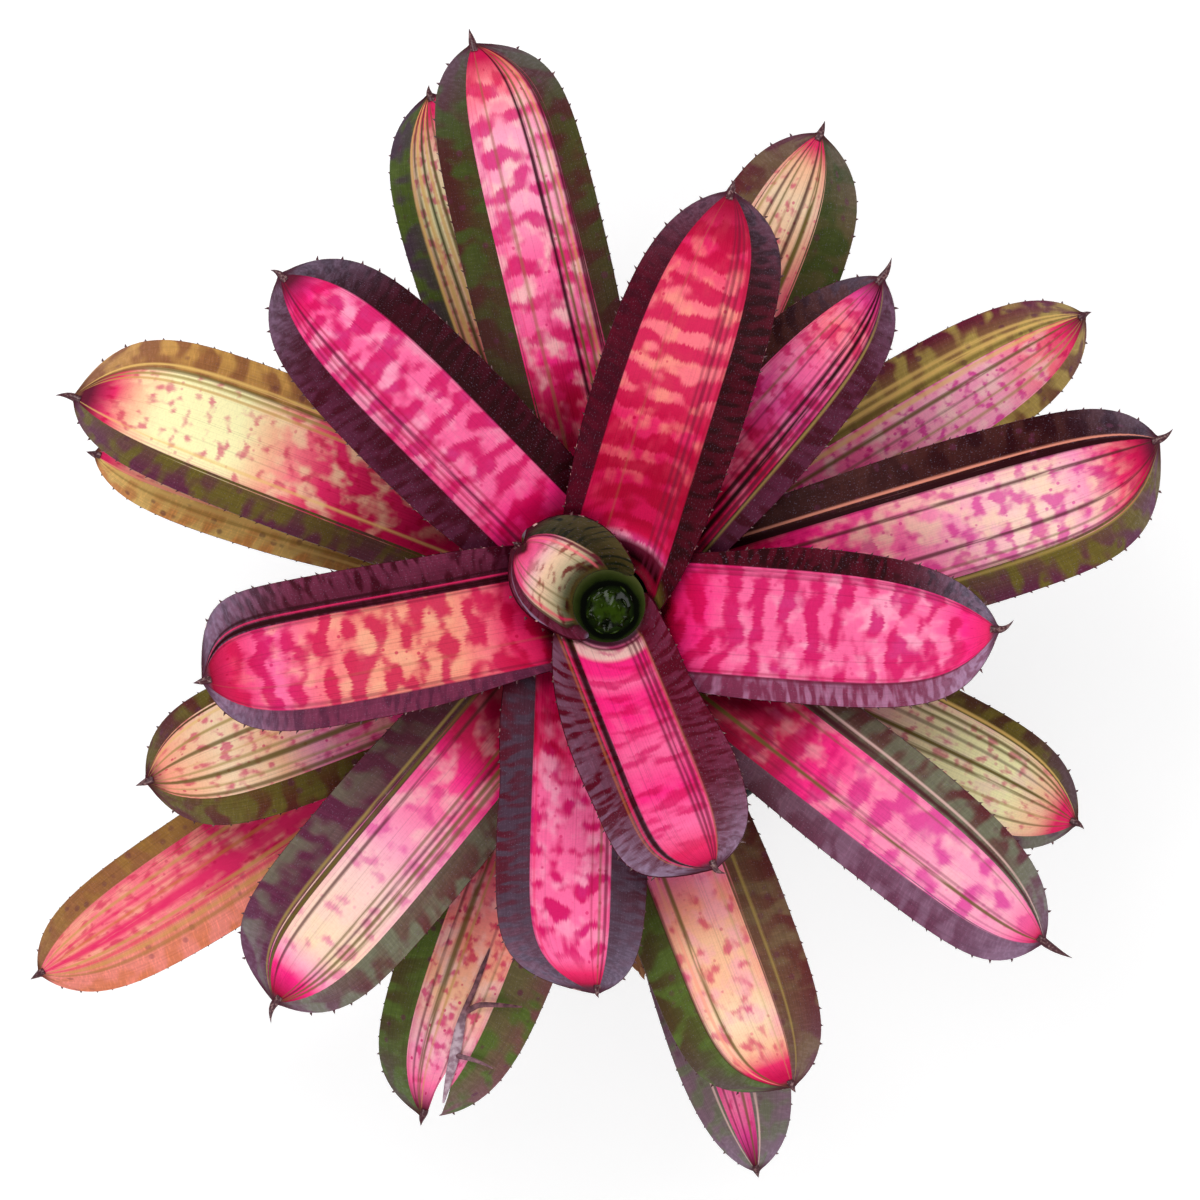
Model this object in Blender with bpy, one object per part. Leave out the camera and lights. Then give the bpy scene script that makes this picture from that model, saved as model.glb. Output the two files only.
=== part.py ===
"""A neoregelia bromeliad, crimson and maroon, growing in a round nursery pot.

The origin is the middle of the pot's flat base, +Z is up and +X is to the right of someone who looks
straight down with +Y away from them.

Twenty-four leaves stand in one spiral on a short stem. Each leaf follows a shell of its own, a surface
turned about the plant's axis that rises steeply beside the stem, flares at the waist and then runs out
almost level. The shells nest one inside the next, youngest leaf first, so that the broad sheaths wrap
each other and hold the cup of water as they do on the plant, and no two leaves touch.
"""
import math
from collections import namedtuple

import bmesh
import bpy
import numpy as np
from mathutils import Matrix, Vector
from mathutils.geometry import interpolate_bezier

# Sizes below are in millimetres, and MM turns them into the scene's metres.
MM = 0.001

# Pot: an outward lip on a tapered wall, with a flat base and a ring of drainage holes.
POT_HEIGHT = 155.0
POT_BASE_RADIUS = 78.0
POT_RIM_RADIUS = 108.5
POT_LIP_WIDTH = 6.0
POT_LIP_DEPTH = 14.0
POT_WALL = 2.0
POT_FLOOR = 3.2
POT_STEPS = 40
DRAIN_COUNT = 8
DRAIN_RADIUS = 5.5
DRAIN_CIRCLE = 58.0

# Potting mix: fills the pot to a little below the lip, heaped slightly towards the stem.
MIX_EDGE_HEIGHT = 134.0
MIX_CROWN_HEIGHT = 139.0
FIT_GAP = 0.35

# Stem: a blunt cone that carries the leaves, with its foot in the potting mix.
STEM_FOOT_RADIUS = 17.0
STEM_FOOT_HEIGHT = 108.0
STEM_CLEARANCE = 1.7
STEM_STEPS = 24

# Leaf shells: the first value is the youngest leaf's, the second the oldest's.
LEAF_COUNT = 24
FOOT_RADIUS = (10.0, 32.0)
FOOT_HEIGHT = (187.0, 144.0)
FOOT_ANGLE = (60.0, 36.0)
WAIST_RADIUS = (15.5, 57.0)
WAIST_HEIGHT = (214.0, 176.0)
WAIST_ANGLE = (84.0, 64.0)
BLADE_ANGLE = (38.0, 15.0)
FAR_ANGLE = (6.0, -14.0)
FLARE_LENGTH = (28.0, 36.0)
BEND_START_RADIUS = 55.0
BEND_END_RADIUS = 290.0
TIP_DROP_ANGLE = 12.0
TIP_DROP_START = 0.55
TIP_DROP_END = 1.05
SHEATH_POINTS = 25
SHELL_OVERRUN = 45.0

# Leaf shape shared by all leaves.
LEAF_THICKNESS = 0.9
SHEATH_HALF_WIDTH = 38.0
SHEATH_WRAP = 90.0
NECK_SHARE = (0.97, 0.72)
NECK_REACH = 0.6
STRAP_START_RADIUS = 38.0
STRAP_END_RADIUS = 80.0
CHANNEL_DEPTH = 2.6
WAVE_HEIGHT = 0.7
WAVE_LENGTH = 47.0
TIP_HALF_WIDTH = 1.3
TIP_BLUNTNESS = 0.85
COLUMNS = 6
FLARE_ROWS = (10.0, 24.0)
BLADE_ROW_PITCH = 36.0
ROW_GAP = 4.0
TIP_ROWS = (52.0, 30.0, 16.0, 7.0, 2.0, 0.0)

# Teeth along the leaf margins, hooked towards the tip.
TOOTH_PITCH = 25.0
TOOTH_HEIGHT = 1.5
TOOTH_BASE = 3.2
TOOTH_LEAN = 0.8
FIRST_TOOTH = 8.0

# The split in leaf_19, by distance from its tip.
SPLIT_LEAF = 19
SPLIT_LENGTH = 30.0
SPLIT_OPEN_LENGTH = 12.0
SPLIT_MIDDLE = 4.5
SPLIT_HALF_OPENING = 3.0
SPLIT_ROOT_HALF_WIDTH = 0.5
SPLIT_FADE = 22.0

# Cup: the flower head sits in the water that the inner sheaths hold.
HEAD_FOOT_RADIUS = 7.4
HEAD_RADIUS = 11.0
HEAD_FOOT_HEIGHT = 187.6
HEAD_SHOULDER_HEIGHT = 205.0
WATER_FLOOR = 193.0
WATER_LEVEL = 211.5
WATER_CLEARANCE = 2.0
BUD_RINGS = 4
BUD_HEIGHT = 4.2
BUDS_PER_RING = 11
CROWN_RISE = 2.2
CUP_STEPS = 22

# A leaf's direction in degrees from +X towards +Y, its reach from the axis and its greatest half-widths,
# left and right of the line to its tip as seen looking outwards, all taken from the photograph. A small
# taper makes a blunt end on that side. The spine at the tip leans left for a positive lean.
Leaf = namedtuple("Leaf", "direction reach left right left_taper right_taper spine lean")
LEAVES = (
    Leaf(148.0, 47.0, 30.0, 33.0, 5.5, 4.5, 1.5, 0.0),
    Leaf(-67.8, 118.0, 26.0, 37.0, 9.0, 6.0, 4.5, 1.0),
    Leaf(73.3, 176.0, 33.0, 33.0, 20.0, 11.0, 5.5, 0.0),
    Leaf(190.8, 169.0, 29.0, 34.5, 10.5, 5.5, 4.5, 0.0),
    Leaf(-3.7, 162.0, 30.0, 37.0, 19.0, 12.0, 6.5, 0.8),
    Leaf(134.8, 191.5, 30.0, 35.5, 13.0, 13.5, 4.5, 0.4),
    Leaf(-91.5, 162.0, 20.0, 44.0, 9.0, 8.0, 2.0, 0.5),
    Leaf(49.9, 178.0, 30.0, 28.0, 26.0, 13.0, 9.5, 0.3),
    Leaf(-37.7, 230.0, 31.5, 26.5, 18.0, 9.5, 15.0, 0.15),
    Leaf(103.5, 241.0, 26.0, 35.5, 12.0, 10.5, 7.5, 0.0),
    Leaf(-129.8, 218.0, 30.5, 38.5, 11.5, 8.5, 8.5, 0.6),
    Leaf(16.6, 243.0, 25.5, 46.5, 14.0, 12.5, 8.0, 0.4),
    Leaf(158.8, 242.5, 21.5, 42.5, 13.0, 13.0, 8.5, 0.3),
    Leaf(-69.0, 220.0, 26.0, 41.0, 12.0, 9.0, 3.0, 0.2),
    Leaf(65.6, 220.5, 30.5, 35.0, 17.5, 14.5, 6.5, 0.1),
    Leaf(-158.9, 211.5, 34.5, 30.0, 12.0, 12.5, 5.5, 0.0),
    Leaf(-25.0, 223.0, 31.0, 28.0, 15.0, 13.5, 4.5, -0.3),
    Leaf(109.2, 233.0, 33.0, 30.0, 14.5, 16.0, 4.5, -0.3),
    Leaf(-109.8, 236.0, 34.5, 34.0, 18.0, 12.5, 5.0, 0.2),
    Leaf(31.2, 243.0, 28.0, 29.5, 19.5, 17.0, 4.0, -0.2),
    Leaf(163.7, 233.0, 20.5, 34.0, 16.0, 16.0, 4.5, 0.0),
    Leaf(-75.2, 258.0, 27.5, 26.0, 16.0, 26.0, 3.5, 0.0),
    Leaf(-146.9, 301.0, 31.0, 25.0, 19.0, 17.5, 6.0, 0.0),
    Leaf(-84.5, 163.0, 17.0, 15.0, 13.0, 15.0, 3.0, 0.3),
)

# Colours, as red, green and blue.
YOUNG_LEAF_COLOUR = (0.46, 0.03, 0.10)
OLD_LEAF_COLOUR = (0.52, 0.26, 0.16)
DRY_LEAF_COLOUR = (0.40, 0.20, 0.09)
STEM_COLOUR = (0.33, 0.30, 0.15)
BUD_COLOUR = (0.06, 0.12, 0.02)
WATER_COLOUR = (0.02, 0.05, 0.01)
MIX_COLOUR = (0.07, 0.045, 0.03)
POT_COLOUR = (0.03, 0.035, 0.04)
LEAF_ROUGHNESS = 0.4
DRY_ROUGHNESS = 0.85
WATER_ROUGHNESS = 0.05
POT_ROUGHNESS = 0.5


def clear_scene():
    """Remove everything that the scene holds."""
    for scene_object in list(bpy.data.objects):
        bpy.data.objects.remove(scene_object, do_unlink=True)


def between(pair, share):
    """The value a share of the way from the first of a pair to the second."""
    return pair[0] + (pair[1] - pair[0]) * share


def ease(start, end, value):
    """0 before start and 1 after end, with a smooth rise between."""
    share = min(max((value - start) / (end - start), 0.0), 1.0)
    return share * share * (3.0 - 2.0 * share)


def heading(degrees):
    """A flat unit vector in the given direction."""
    return Vector((math.cos(math.radians(degrees)), math.sin(math.radians(degrees))))


def material(name, colour, roughness):
    """A plain surface of one colour."""
    made = bpy.data.materials.new(name)
    made.use_nodes = True
    shader = made.node_tree.nodes["Principled BSDF"]
    shader.inputs["Base Color"].default_value = (*colour, 1.0)
    shader.inputs["Roughness"].default_value = roughness
    shader.inputs["Metallic"].default_value = 0.0
    return made


def add_object(name, shape, colour, roughness):
    """Put a finished mesh, made in millimetres, into the scene with a material of its own."""
    bmesh.ops.transform(shape, matrix=Matrix.Scale(MM, 4), verts=shape.verts)
    mesh = bpy.data.meshes.new(name)
    shape.to_mesh(mesh)
    shape.free()
    mesh.materials.append(material(name, colour, roughness))
    made = bpy.data.objects.new(name, mesh)
    bpy.context.scene.collection.objects.link(made)
    return made


def turned(outline, steps):
    """A solid turned about the Z axis from an outline of radius and height that ends on the axis."""
    shape = bmesh.new()
    corners = [shape.verts.new((radius, 0.0, height)) for radius, height in outline]
    edges = [shape.edges.new(pair) for pair in zip(corners, corners[1:])]
    bmesh.ops.spin(shape, geom=corners + edges, cent=(0, 0, 0), axis=(0, 0, 1), angle=math.tau,
                   steps=steps, use_merge=True)
    bmesh.ops.remove_doubles(shape, verts=shape.verts, dist=0.01)
    bmesh.ops.recalc_face_normals(shape, faces=shape.faces)
    return shape


def shade_round(made, sharp_degrees):
    """Shade a round piece smooth, but keep its real corners."""
    made.data.shade_smooth()
    made.data.set_sharp_from_angle(angle=math.radians(sharp_degrees))


class Shell:
    """The surface that one leaf follows, as radius and height against length along the leaf."""

    def __init__(self, rank, reach):
        age = rank / (LEAF_COUNT - 1)
        foot = Vector((between(FOOT_RADIUS, age), between(FOOT_HEIGHT, age)))
        waist = Vector((between(WAIST_RADIUS, age), between(WAIST_HEIGHT, age)))
        pull = (waist - foot).length / 3.0
        foot_handle = foot + heading(between(FOOT_ANGLE, age)) * pull
        waist_handle = waist - heading(between(WAIST_ANGLE, age)) * pull
        points = interpolate_bezier(foot, foot_handle, waist_handle, waist, SHEATH_POINTS)
        points += self.blade_points(age, waist, reach)
        self.radius = np.array([point.x for point in points])
        self.height = np.array([point.y for point in points])
        steps = np.hypot(np.diff(self.radius), np.diff(self.height))
        self.length = np.concatenate([[0.0], np.cumsum(steps)])
        self.waist_length = self.length[SHEATH_POINTS - 1]
        self.leaf_length = float(np.interp(reach, self.radius, self.length))

    @staticmethod
    def blade_points(age, waist, reach):
        """Points past the waist, a millimetre apart, where the slope falls off step by step."""
        points = []
        place = waist.copy()
        walked = 0.0
        blade_angle = between(BLADE_ANGLE, age)
        while place.x < reach + SHELL_OVERRUN:
            flared = ease(0.0, between(FLARE_LENGTH, age), walked)
            angle = between((between(WAIST_ANGLE, age), blade_angle), flared)
            far_bend = between(FAR_ANGLE, age) - blade_angle
            angle += far_bend * ease(BEND_START_RADIUS, BEND_END_RADIUS, place.x)
            outward = (place.x - waist.x) / (reach - waist.x)
            angle -= TIP_DROP_ANGLE * ease(TIP_DROP_START, TIP_DROP_END, outward)
            place = place + heading(angle)
            walked += 1.0
            points.append(place)
        return points

    def radius_at(self, length):
        """Distance from the plant's axis at a length along the leaf."""
        return float(np.interp(length, self.length, self.radius))

    def height_at(self, radius):
        """Height of the shell at a distance from the plant's axis."""
        return float(np.interp(radius, self.radius, self.height))


class Blade:
    """One leaf laid on its shell: a sheath that wraps the stem and a strap that runs out to the tip."""

    def __init__(self, number, leaf):
        self.number = number
        self.leaf = leaf
        self.shell = Shell(number - 1, leaf.reach)
        self.age = (number - 1) / (LEAF_COUNT - 1)
        self.outward = heading(leaf.direction)
        self.leftward = Vector((-self.outward.y, self.outward.x))
        sideways = (leaf.left - leaf.right) / 2.0
        foot_turn = math.degrees(math.atan2(sideways, (STRAP_START_RADIUS + STRAP_END_RADIUS) / 2.0))
        self.foot_direction = leaf.direction + foot_turn

    def rows(self):
        """Lengths along the leaf where the mesh has a row of points."""
        shell = self.shell
        rows = [0.0, shell.waist_length / 2.0, shell.waist_length]
        rows += [shell.waist_length + step for step in FLARE_ROWS]
        tip_rows = [shell.leaf_length - step for step in TIP_ROWS if shell.leaf_length - step > rows[-1] + ROW_GAP]
        free = tip_rows[0] - rows[-1]
        pieces = max(1, round(free / BLADE_ROW_PITCH))
        rows += [rows[-1] + free * step / pieces for step in range(1, pieces)]
        return rows + tip_rows

    def half_widths(self, length):
        """Width of the leaf to the left and to the right of its middle line."""
        shell = self.shell
        radius = shell.radius_at(length)
        sheath = min(SHEATH_HALF_WIDTH, radius * math.radians(SHEATH_WRAP))
        to_blade = ease(shell.waist_length * 0.9, shell.waist_length + 22.0, length)
        neck_end = between((shell.waist_length, shell.leaf_length), NECK_REACH)
        neck = between((between(NECK_SHARE, self.age), 1.0), ease(shell.waist_length, neck_end, length))
        to_tip = max(shell.leaf_length - length, 0.0)
        widths = []
        for width, taper in ((self.leaf.left, self.leaf.left_taper), (self.leaf.right, self.leaf.right_taper)):
            rounding = 1.0 - math.exp(-((to_tip / taper) ** TIP_BLUNTNESS))
            blade = max(width * neck * rounding, TIP_HALF_WIDTH)
            widths.append(between((sheath, blade), to_blade))
        return widths

    def split_width(self, length):
        """Half-width of the split where there is one, and how far the columns gather around it."""
        to_tip = self.shell.leaf_length - length
        opening = 1.0 - ease(SPLIT_OPEN_LENGTH, SPLIT_LENGTH, to_tip)
        half = between((SPLIT_ROOT_HALF_WIDTH, SPLIT_HALF_OPENING), opening)
        return half, 1.0 - ease(SPLIT_LENGTH, SPLIT_LENGTH + SPLIT_FADE, to_tip)

    def offsets(self, length):
        """Distances of the mesh columns from the middle line, from the right margin to the left."""
        left, right = self.half_widths(length)
        even = [-right + (left + right) * column / COLUMNS for column in range(COLUMNS + 1)]
        if self.number != SPLIT_LEAF:
            return even
        half, gather = self.split_width(length)
        low = max(min(SPLIT_MIDDLE - half, left - 1.0), -right + 1.0)
        high = max(min(SPLIT_MIDDLE + half, left - 0.4), low + 0.6)
        middle = COLUMNS // 2
        gathered = [-right + (low + right) * column / middle for column in range(middle + 1)]
        above = COLUMNS - middle - 1
        gathered += [high + (left - high) * column / above for column in range(above + 1)]
        return [between(pair, gather) for pair in zip(even, gathered)]

    def place(self, length, offset):
        """The point at a length along the leaf and a distance to the left of its middle line."""
        shell = self.shell
        radius = shell.radius_at(length)
        wrapped = heading(self.foot_direction + math.degrees(offset / radius)) * radius
        strap = self.outward * radius + self.leftward * offset
        flat = wrapped.lerp(strap, ease(STRAP_START_RADIUS, STRAP_END_RADIUS, radius))
        left, right = self.half_widths(length)
        across = (offset - (left - right) / 2.0) / ((left + right) / 2.0)
        width_share = (left + right) / (self.leaf.left + self.leaf.right)
        blade_share = ease(shell.waist_length + 20.0, shell.waist_length + 70.0, length)
        wave = WAVE_HEIGHT * math.sin(math.tau * length / WAVE_LENGTH + self.number) * across
        lift = (CHANNEL_DEPTH * (across * across - 0.3) + wave) * blade_share * width_share
        return Vector((flat.x, flat.y, shell.height_at(flat.length) + lift))

    def spine_point(self):
        """The point of the spine that ends the leaf."""
        before = self.place(self.shell.leaf_length - 4.0, 0.0)
        end = self.place(self.shell.leaf_length, 0.0)
        along = (end - before).normalized()
        leaning = (along + self.leftward.to_3d() * self.leaf.lean).normalized()
        return end + leaning * self.leaf.spine

    def tooth_lengths(self):
        """Lengths along the leaf of the middle of each margin tooth, evenly spaced up to the tip."""
        start = self.shell.waist_length + 14.0
        end = self.shell.leaf_length - FIRST_TOOTH
        count = max(int((end - start) / TOOTH_PITCH) + 1, 1)
        return [end - TOOTH_PITCH * step for step in range(count)]


def split_margin(shape, edge, start, place):
    """Add a point to a margin edge after its start, move it into place and return it with what is left."""
    added = bmesh.utils.edge_split(edge, start, 0.5)[1]
    added.co = place
    ahead = next(link for link in added.link_edges if start not in link.verts)
    return added, ahead


def add_teeth(shape, blade, margin, rows, side):
    """Raise a hooked tooth on one margin for each of the leaf's tooth lengths."""
    for low, high, first, second in zip(rows, rows[1:], margin, margin[1:]):
        edge = shape.edges.get((first, second))
        last = first
        for middle in sorted(blade.tooth_lengths()):
            if not low + TOOTH_BASE < middle < high - TOOTH_BASE * 0.7:
                continue
            for step, height in ((-0.5, 0.0), (TOOTH_LEAN * 0.5, TOOTH_HEIGHT), (0.5, 0.0)):
                length = middle + step * TOOTH_BASE
                left, right = blade.half_widths(length)
                offset = left + height if side > 0 else -right - height
                last, edge = split_margin(shape, edge, last, blade.place(length, offset))


def leaf_sheet(blade):
    """The leaf as a sheet without thickness, with its teeth, split and spine."""
    rows = blade.rows()
    shape = bmesh.new()
    bmesh.ops.create_grid(shape, x_segments=COLUMNS, y_segments=len(rows) - 1, size=0.5)
    shape.verts.ensure_lookup_table()
    grid = {}
    for vertex in shape.verts:
        column = round((vertex.co.x + 0.5) * COLUMNS)
        row = round((vertex.co.y + 0.5) * (len(rows) - 1))
        grid[row, column] = vertex
    for (row, column), vertex in grid.items():
        length = rows[row]
        vertex.co = blade.place(length, blade.offsets(length)[column])
    spine = shape.verts.new(blade.spine_point())
    last = len(rows) - 1
    for column in range(COLUMNS):
        shape.faces.new((grid[last, column], grid[last, column + 1], spine))
    if blade.number == SPLIT_LEAF:
        open_split(shape, blade, rows, grid, spine)
    for column, side in ((0, -1), (COLUMNS, 1)):
        margin = [grid[row, column] for row in range(last + 1)]
        add_teeth(shape, blade, margin, rows, side)
    bmesh.ops.recalc_face_normals(shape, faces=shape.faces)
    bmesh.ops.triangulate(shape, faces=shape.faces)
    return shape


def open_split(shape, blade, rows, grid, spine):
    """Take out the faces of the column where the leaf is torn, and the torn half's share of the spine."""
    middle = COLUMNS // 2
    torn = []
    for row, length in enumerate(rows[:-1]):
        if blade.shell.leaf_length - length <= SPLIT_LENGTH + 1.0:
            corners = (grid[row, middle], grid[row, middle + 1], grid[row + 1, middle + 1], grid[row + 1, middle])
            torn.append(next(face for face in corners[0].link_faces if all(c in face.verts for c in corners)))
    last = len(rows) - 1
    for column in range(middle, COLUMNS):
        corners = (grid[last, column], grid[last, column + 1], spine)
        torn.append(next(face for face in spine.link_faces if all(c in face.verts for c in corners)))
    bmesh.ops.delete(shape, geom=torn, context="FACES")


def leaf_colour(number):
    """Young leaves are deep crimson, old ones paler and greener, and the withered one is brown."""
    if number == LEAF_COUNT:
        return DRY_LEAF_COLOUR
    age = (number - 1) / (LEAF_COUNT - 1)
    return tuple(between(pair, age) for pair in zip(YOUNG_LEAF_COLOUR, OLD_LEAF_COLOUR))


def make_leaf(number, leaf):
    """One leaf of even thickness."""
    name = f"leaf_{number:02d}" if number < LEAF_COUNT else "withered_leaf"
    roughness = LEAF_ROUGHNESS if number < LEAF_COUNT else DRY_ROUGHNESS
    made = add_object(name, leaf_sheet(Blade(number, leaf)), leaf_colour(number), roughness)
    shade_round(made, 50.0)
    thicken = made.modifiers.new("thickness", "SOLIDIFY")
    thicken.thickness = LEAF_THICKNESS * MM
    thicken.offset = 0.0
    return made


def make_pot():
    """The nursery pot with its lip and drainage holes."""
    lip_bottom = POT_HEIGHT - POT_LIP_DEPTH
    wall_top = POT_RIM_RADIUS - POT_LIP_WIDTH
    outline = (
        (0.0, 0.0),
        (POT_BASE_RADIUS - 1.5, 0.0),
        (POT_BASE_RADIUS, 1.5),
        (wall_top, lip_bottom - 1.0),
        (POT_RIM_RADIUS - 1.5, lip_bottom),
        (POT_RIM_RADIUS, lip_bottom + 1.5),
        (POT_RIM_RADIUS, POT_HEIGHT - 1.5),
        (POT_RIM_RADIUS - 1.5, POT_HEIGHT),
        (wall_top + 1.5, POT_HEIGHT),
        (wall_top, POT_HEIGHT - 1.5),
        (pot_inner_radius(lip_bottom - 4.0), lip_bottom - 4.0),
        (pot_inner_radius(POT_FLOOR), POT_FLOOR),
        (0.0, POT_FLOOR),
    )
    pot = add_object("pot", turned(outline, POT_STEPS), POT_COLOUR, POT_ROUGHNESS)
    shade_round(pot, 40.0)
    holes = bmesh.new()
    for step in range(DRAIN_COUNT):
        centre = (heading(360.0 * (step + 0.5) / DRAIN_COUNT) * DRAIN_CIRCLE).to_3d()
        bmesh.ops.create_cone(holes, cap_ends=True, segments=12, radius1=DRAIN_RADIUS, radius2=DRAIN_RADIUS,
                              depth=4.0 * POT_FLOOR, matrix=Matrix.Translation(centre))
    cutter = add_object("drain_cutter", holes, POT_COLOUR, POT_ROUGHNESS)
    cutter.hide_render = True
    cutter.display_type = "WIRE"
    cut = pot.modifiers.new("drain_holes", "BOOLEAN")
    cut.operation = "DIFFERENCE"
    cut.object = cutter


def pot_inner_radius(height):
    """Inside radius of the pot's wall."""
    lip_bottom = POT_HEIGHT - POT_LIP_DEPTH
    slope = (POT_RIM_RADIUS - POT_LIP_WIDTH - POT_BASE_RADIUS) / lip_bottom
    return POT_BASE_RADIUS - POT_WALL + slope * height


def make_mix():
    """The potting mix, with a plain hole for the stem's foot."""
    hole = STEM_FOOT_RADIUS + FIT_GAP
    hole_floor = STEM_FOOT_HEIGHT - FIT_GAP
    floor = POT_FLOOR + FIT_GAP
    shoulder = (MIX_EDGE_HEIGHT + MIX_CROWN_HEIGHT) / 2.0
    outline = (
        (0.0, floor),
        (pot_inner_radius(floor) - FIT_GAP - 0.4, floor),
        (pot_inner_radius(MIX_EDGE_HEIGHT) - FIT_GAP - 0.4, MIX_EDGE_HEIGHT),
        (70.0, shoulder),
        (40.0, MIX_CROWN_HEIGHT),
        (hole, MIX_CROWN_HEIGHT),
        (hole, hole_floor),
        (0.0, hole_floor),
    )
    mix = add_object("potting_mix", turned(outline, POT_STEPS), MIX_COLOUR, DRY_ROUGHNESS)
    shade_round(mix, 40.0)


def make_stem():
    """The stem, whose cone runs just inside the leaves' feet."""
    outline = [(0.0, STEM_FOOT_HEIGHT), (STEM_FOOT_RADIUS - 2.0, STEM_FOOT_HEIGHT)]
    outline += [(STEM_FOOT_RADIUS, STEM_FOOT_HEIGHT + 2.0), (STEM_FOOT_RADIUS, MIX_CROWN_HEIGHT + 1.0)]
    top = FOOT_HEIGHT[0] - 0.3
    for share in (1.0, 0.5, 0.0):
        height = between(FOOT_HEIGHT, share) - 0.3
        outline.append((between(FOOT_RADIUS, share) - STEM_CLEARANCE, height))
    outline.append((0.0, top))
    stem = add_object("stem", turned(outline, STEM_STEPS), STEM_COLOUR, LEAF_ROUGHNESS)
    shade_round(stem, 40.0)


def make_flower_head():
    """The sunken flower head: rings of pointed buds, each ring turned by half a bud."""
    sides = 2 * BUDS_PER_RING
    outline = [(0.0, HEAD_FOOT_HEIGHT), (HEAD_FOOT_RADIUS, HEAD_FOOT_HEIGHT)]
    outline += [(HEAD_RADIUS, HEAD_SHOULDER_HEIGHT), (HEAD_RADIUS, WATER_LEVEL + 0.3)]
    for ring in range(BUD_RINGS):
        inward = (ring + 1) / (BUD_RINGS + 0.5)
        outline.append((HEAD_RADIUS * (1.0 - inward), WATER_LEVEL + 0.3 + CROWN_RISE * inward))
    outline.append((0.0, WATER_LEVEL + CROWN_RISE + 1.5))
    shape = turned(outline, sides)
    bud_floor = WATER_LEVEL + 0.2
    for vertex in shape.verts:
        radius = math.hypot(vertex.co.x, vertex.co.y)
        if vertex.co.z < bud_floor or radius < 1.0:
            continue
        ring = round((1.0 - radius / HEAD_RADIUS) * (BUD_RINGS + 0.5))
        side = round(math.atan2(vertex.co.y, vertex.co.x) / math.tau * sides)
        if (side + ring) % 2 == 0:
            vertex.co.z += BUD_HEIGHT * radius / HEAD_RADIUS
    add_object("bud_nest", shape, BUD_COLOUR, LEAF_ROUGHNESS)


def make_water():
    """The water in the cup, a ring between the flower head and the innermost sheath."""
    sheath = Shell(0, LEAVES[0].reach)
    floor_share = (WATER_FLOOR - HEAD_FOOT_HEIGHT) / (HEAD_SHOULDER_HEIGHT - HEAD_FOOT_HEIGHT)
    heights = (WATER_FLOOR, HEAD_SHOULDER_HEIGHT, WATER_LEVEL)
    outer = [(float(np.interp(z, sheath.height, sheath.radius)) - WATER_CLEARANCE, z) for z in heights]
    inner = [
        (HEAD_RADIUS + FIT_GAP, WATER_LEVEL),
        (HEAD_RADIUS + FIT_GAP, HEAD_SHOULDER_HEIGHT),
        (between((HEAD_FOOT_RADIUS, HEAD_RADIUS), floor_share) + FIT_GAP, WATER_FLOOR),
    ]
    outline = outer + inner
    shape = turned(outline + outline[:1], CUP_STEPS)
    water = add_object("cup_water", shape, WATER_COLOUR, WATER_ROUGHNESS)
    shade_round(water, 40.0)


def main():
    clear_scene()
    for number, leaf in enumerate(LEAVES, start=1):
        make_leaf(number, leaf)
    make_stem()
    make_flower_head()
    make_water()
    make_mix()
    make_pot()


main()
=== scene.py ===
"""How the potted neoregelia looks.

Every leaf of the fixed model gives way to a finer one on the same shell, with its stripes, cross-bars,
teeth and spine. The cup gets its wet flower head and water, and the pot, the mix and the stem their finish.
Leaves are worked out in millimetres and put into the scene in metres.
"""

import math
import random
from collections import namedtuple

import bmesh
import bpy
import numpy as np
from mathutils import Matrix, Vector, noise
from mathutils.geometry import interpolate_bezier


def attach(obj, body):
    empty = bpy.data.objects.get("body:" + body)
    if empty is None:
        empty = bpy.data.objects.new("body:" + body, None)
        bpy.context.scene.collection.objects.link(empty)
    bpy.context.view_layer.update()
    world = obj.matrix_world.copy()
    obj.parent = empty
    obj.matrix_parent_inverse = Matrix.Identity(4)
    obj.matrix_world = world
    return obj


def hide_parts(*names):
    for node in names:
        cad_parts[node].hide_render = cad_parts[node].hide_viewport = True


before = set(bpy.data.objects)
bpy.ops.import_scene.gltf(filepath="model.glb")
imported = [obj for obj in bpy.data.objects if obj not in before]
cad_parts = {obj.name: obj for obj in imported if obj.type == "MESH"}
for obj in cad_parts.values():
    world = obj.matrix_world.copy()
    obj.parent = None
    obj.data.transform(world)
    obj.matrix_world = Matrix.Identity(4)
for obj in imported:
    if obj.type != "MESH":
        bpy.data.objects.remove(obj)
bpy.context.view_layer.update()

MM = 0.001
UP = Vector((0.0, 0.0, 1.0))

# Leaf shells, repeated from the fixed model: the first value is the youngest leaf's, the second the oldest's.
LEAF_COUNT = 24
FOOT_RADIUS = (10.0, 32.0)
FOOT_HEIGHT = (187.0, 144.0)
FOOT_ANGLE = (60.0, 36.0)
WAIST_RADIUS = (15.5, 57.0)
WAIST_HEIGHT = (214.0, 176.0)
WAIST_ANGLE = (84.0, 64.0)
BLADE_ANGLE = (38.0, 15.0)
FAR_ANGLE = (6.0, -14.0)
FLARE_LENGTH = (28.0, 36.0)
BEND_START_RADIUS = 55.0
BEND_END_RADIUS = 290.0
TIP_DROP_ANGLE = 12.0
TIP_DROP_START = 0.55
TIP_DROP_END = 1.05
SHEATH_POINTS = 25
SHELL_OVERRUN = 45.0

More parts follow.
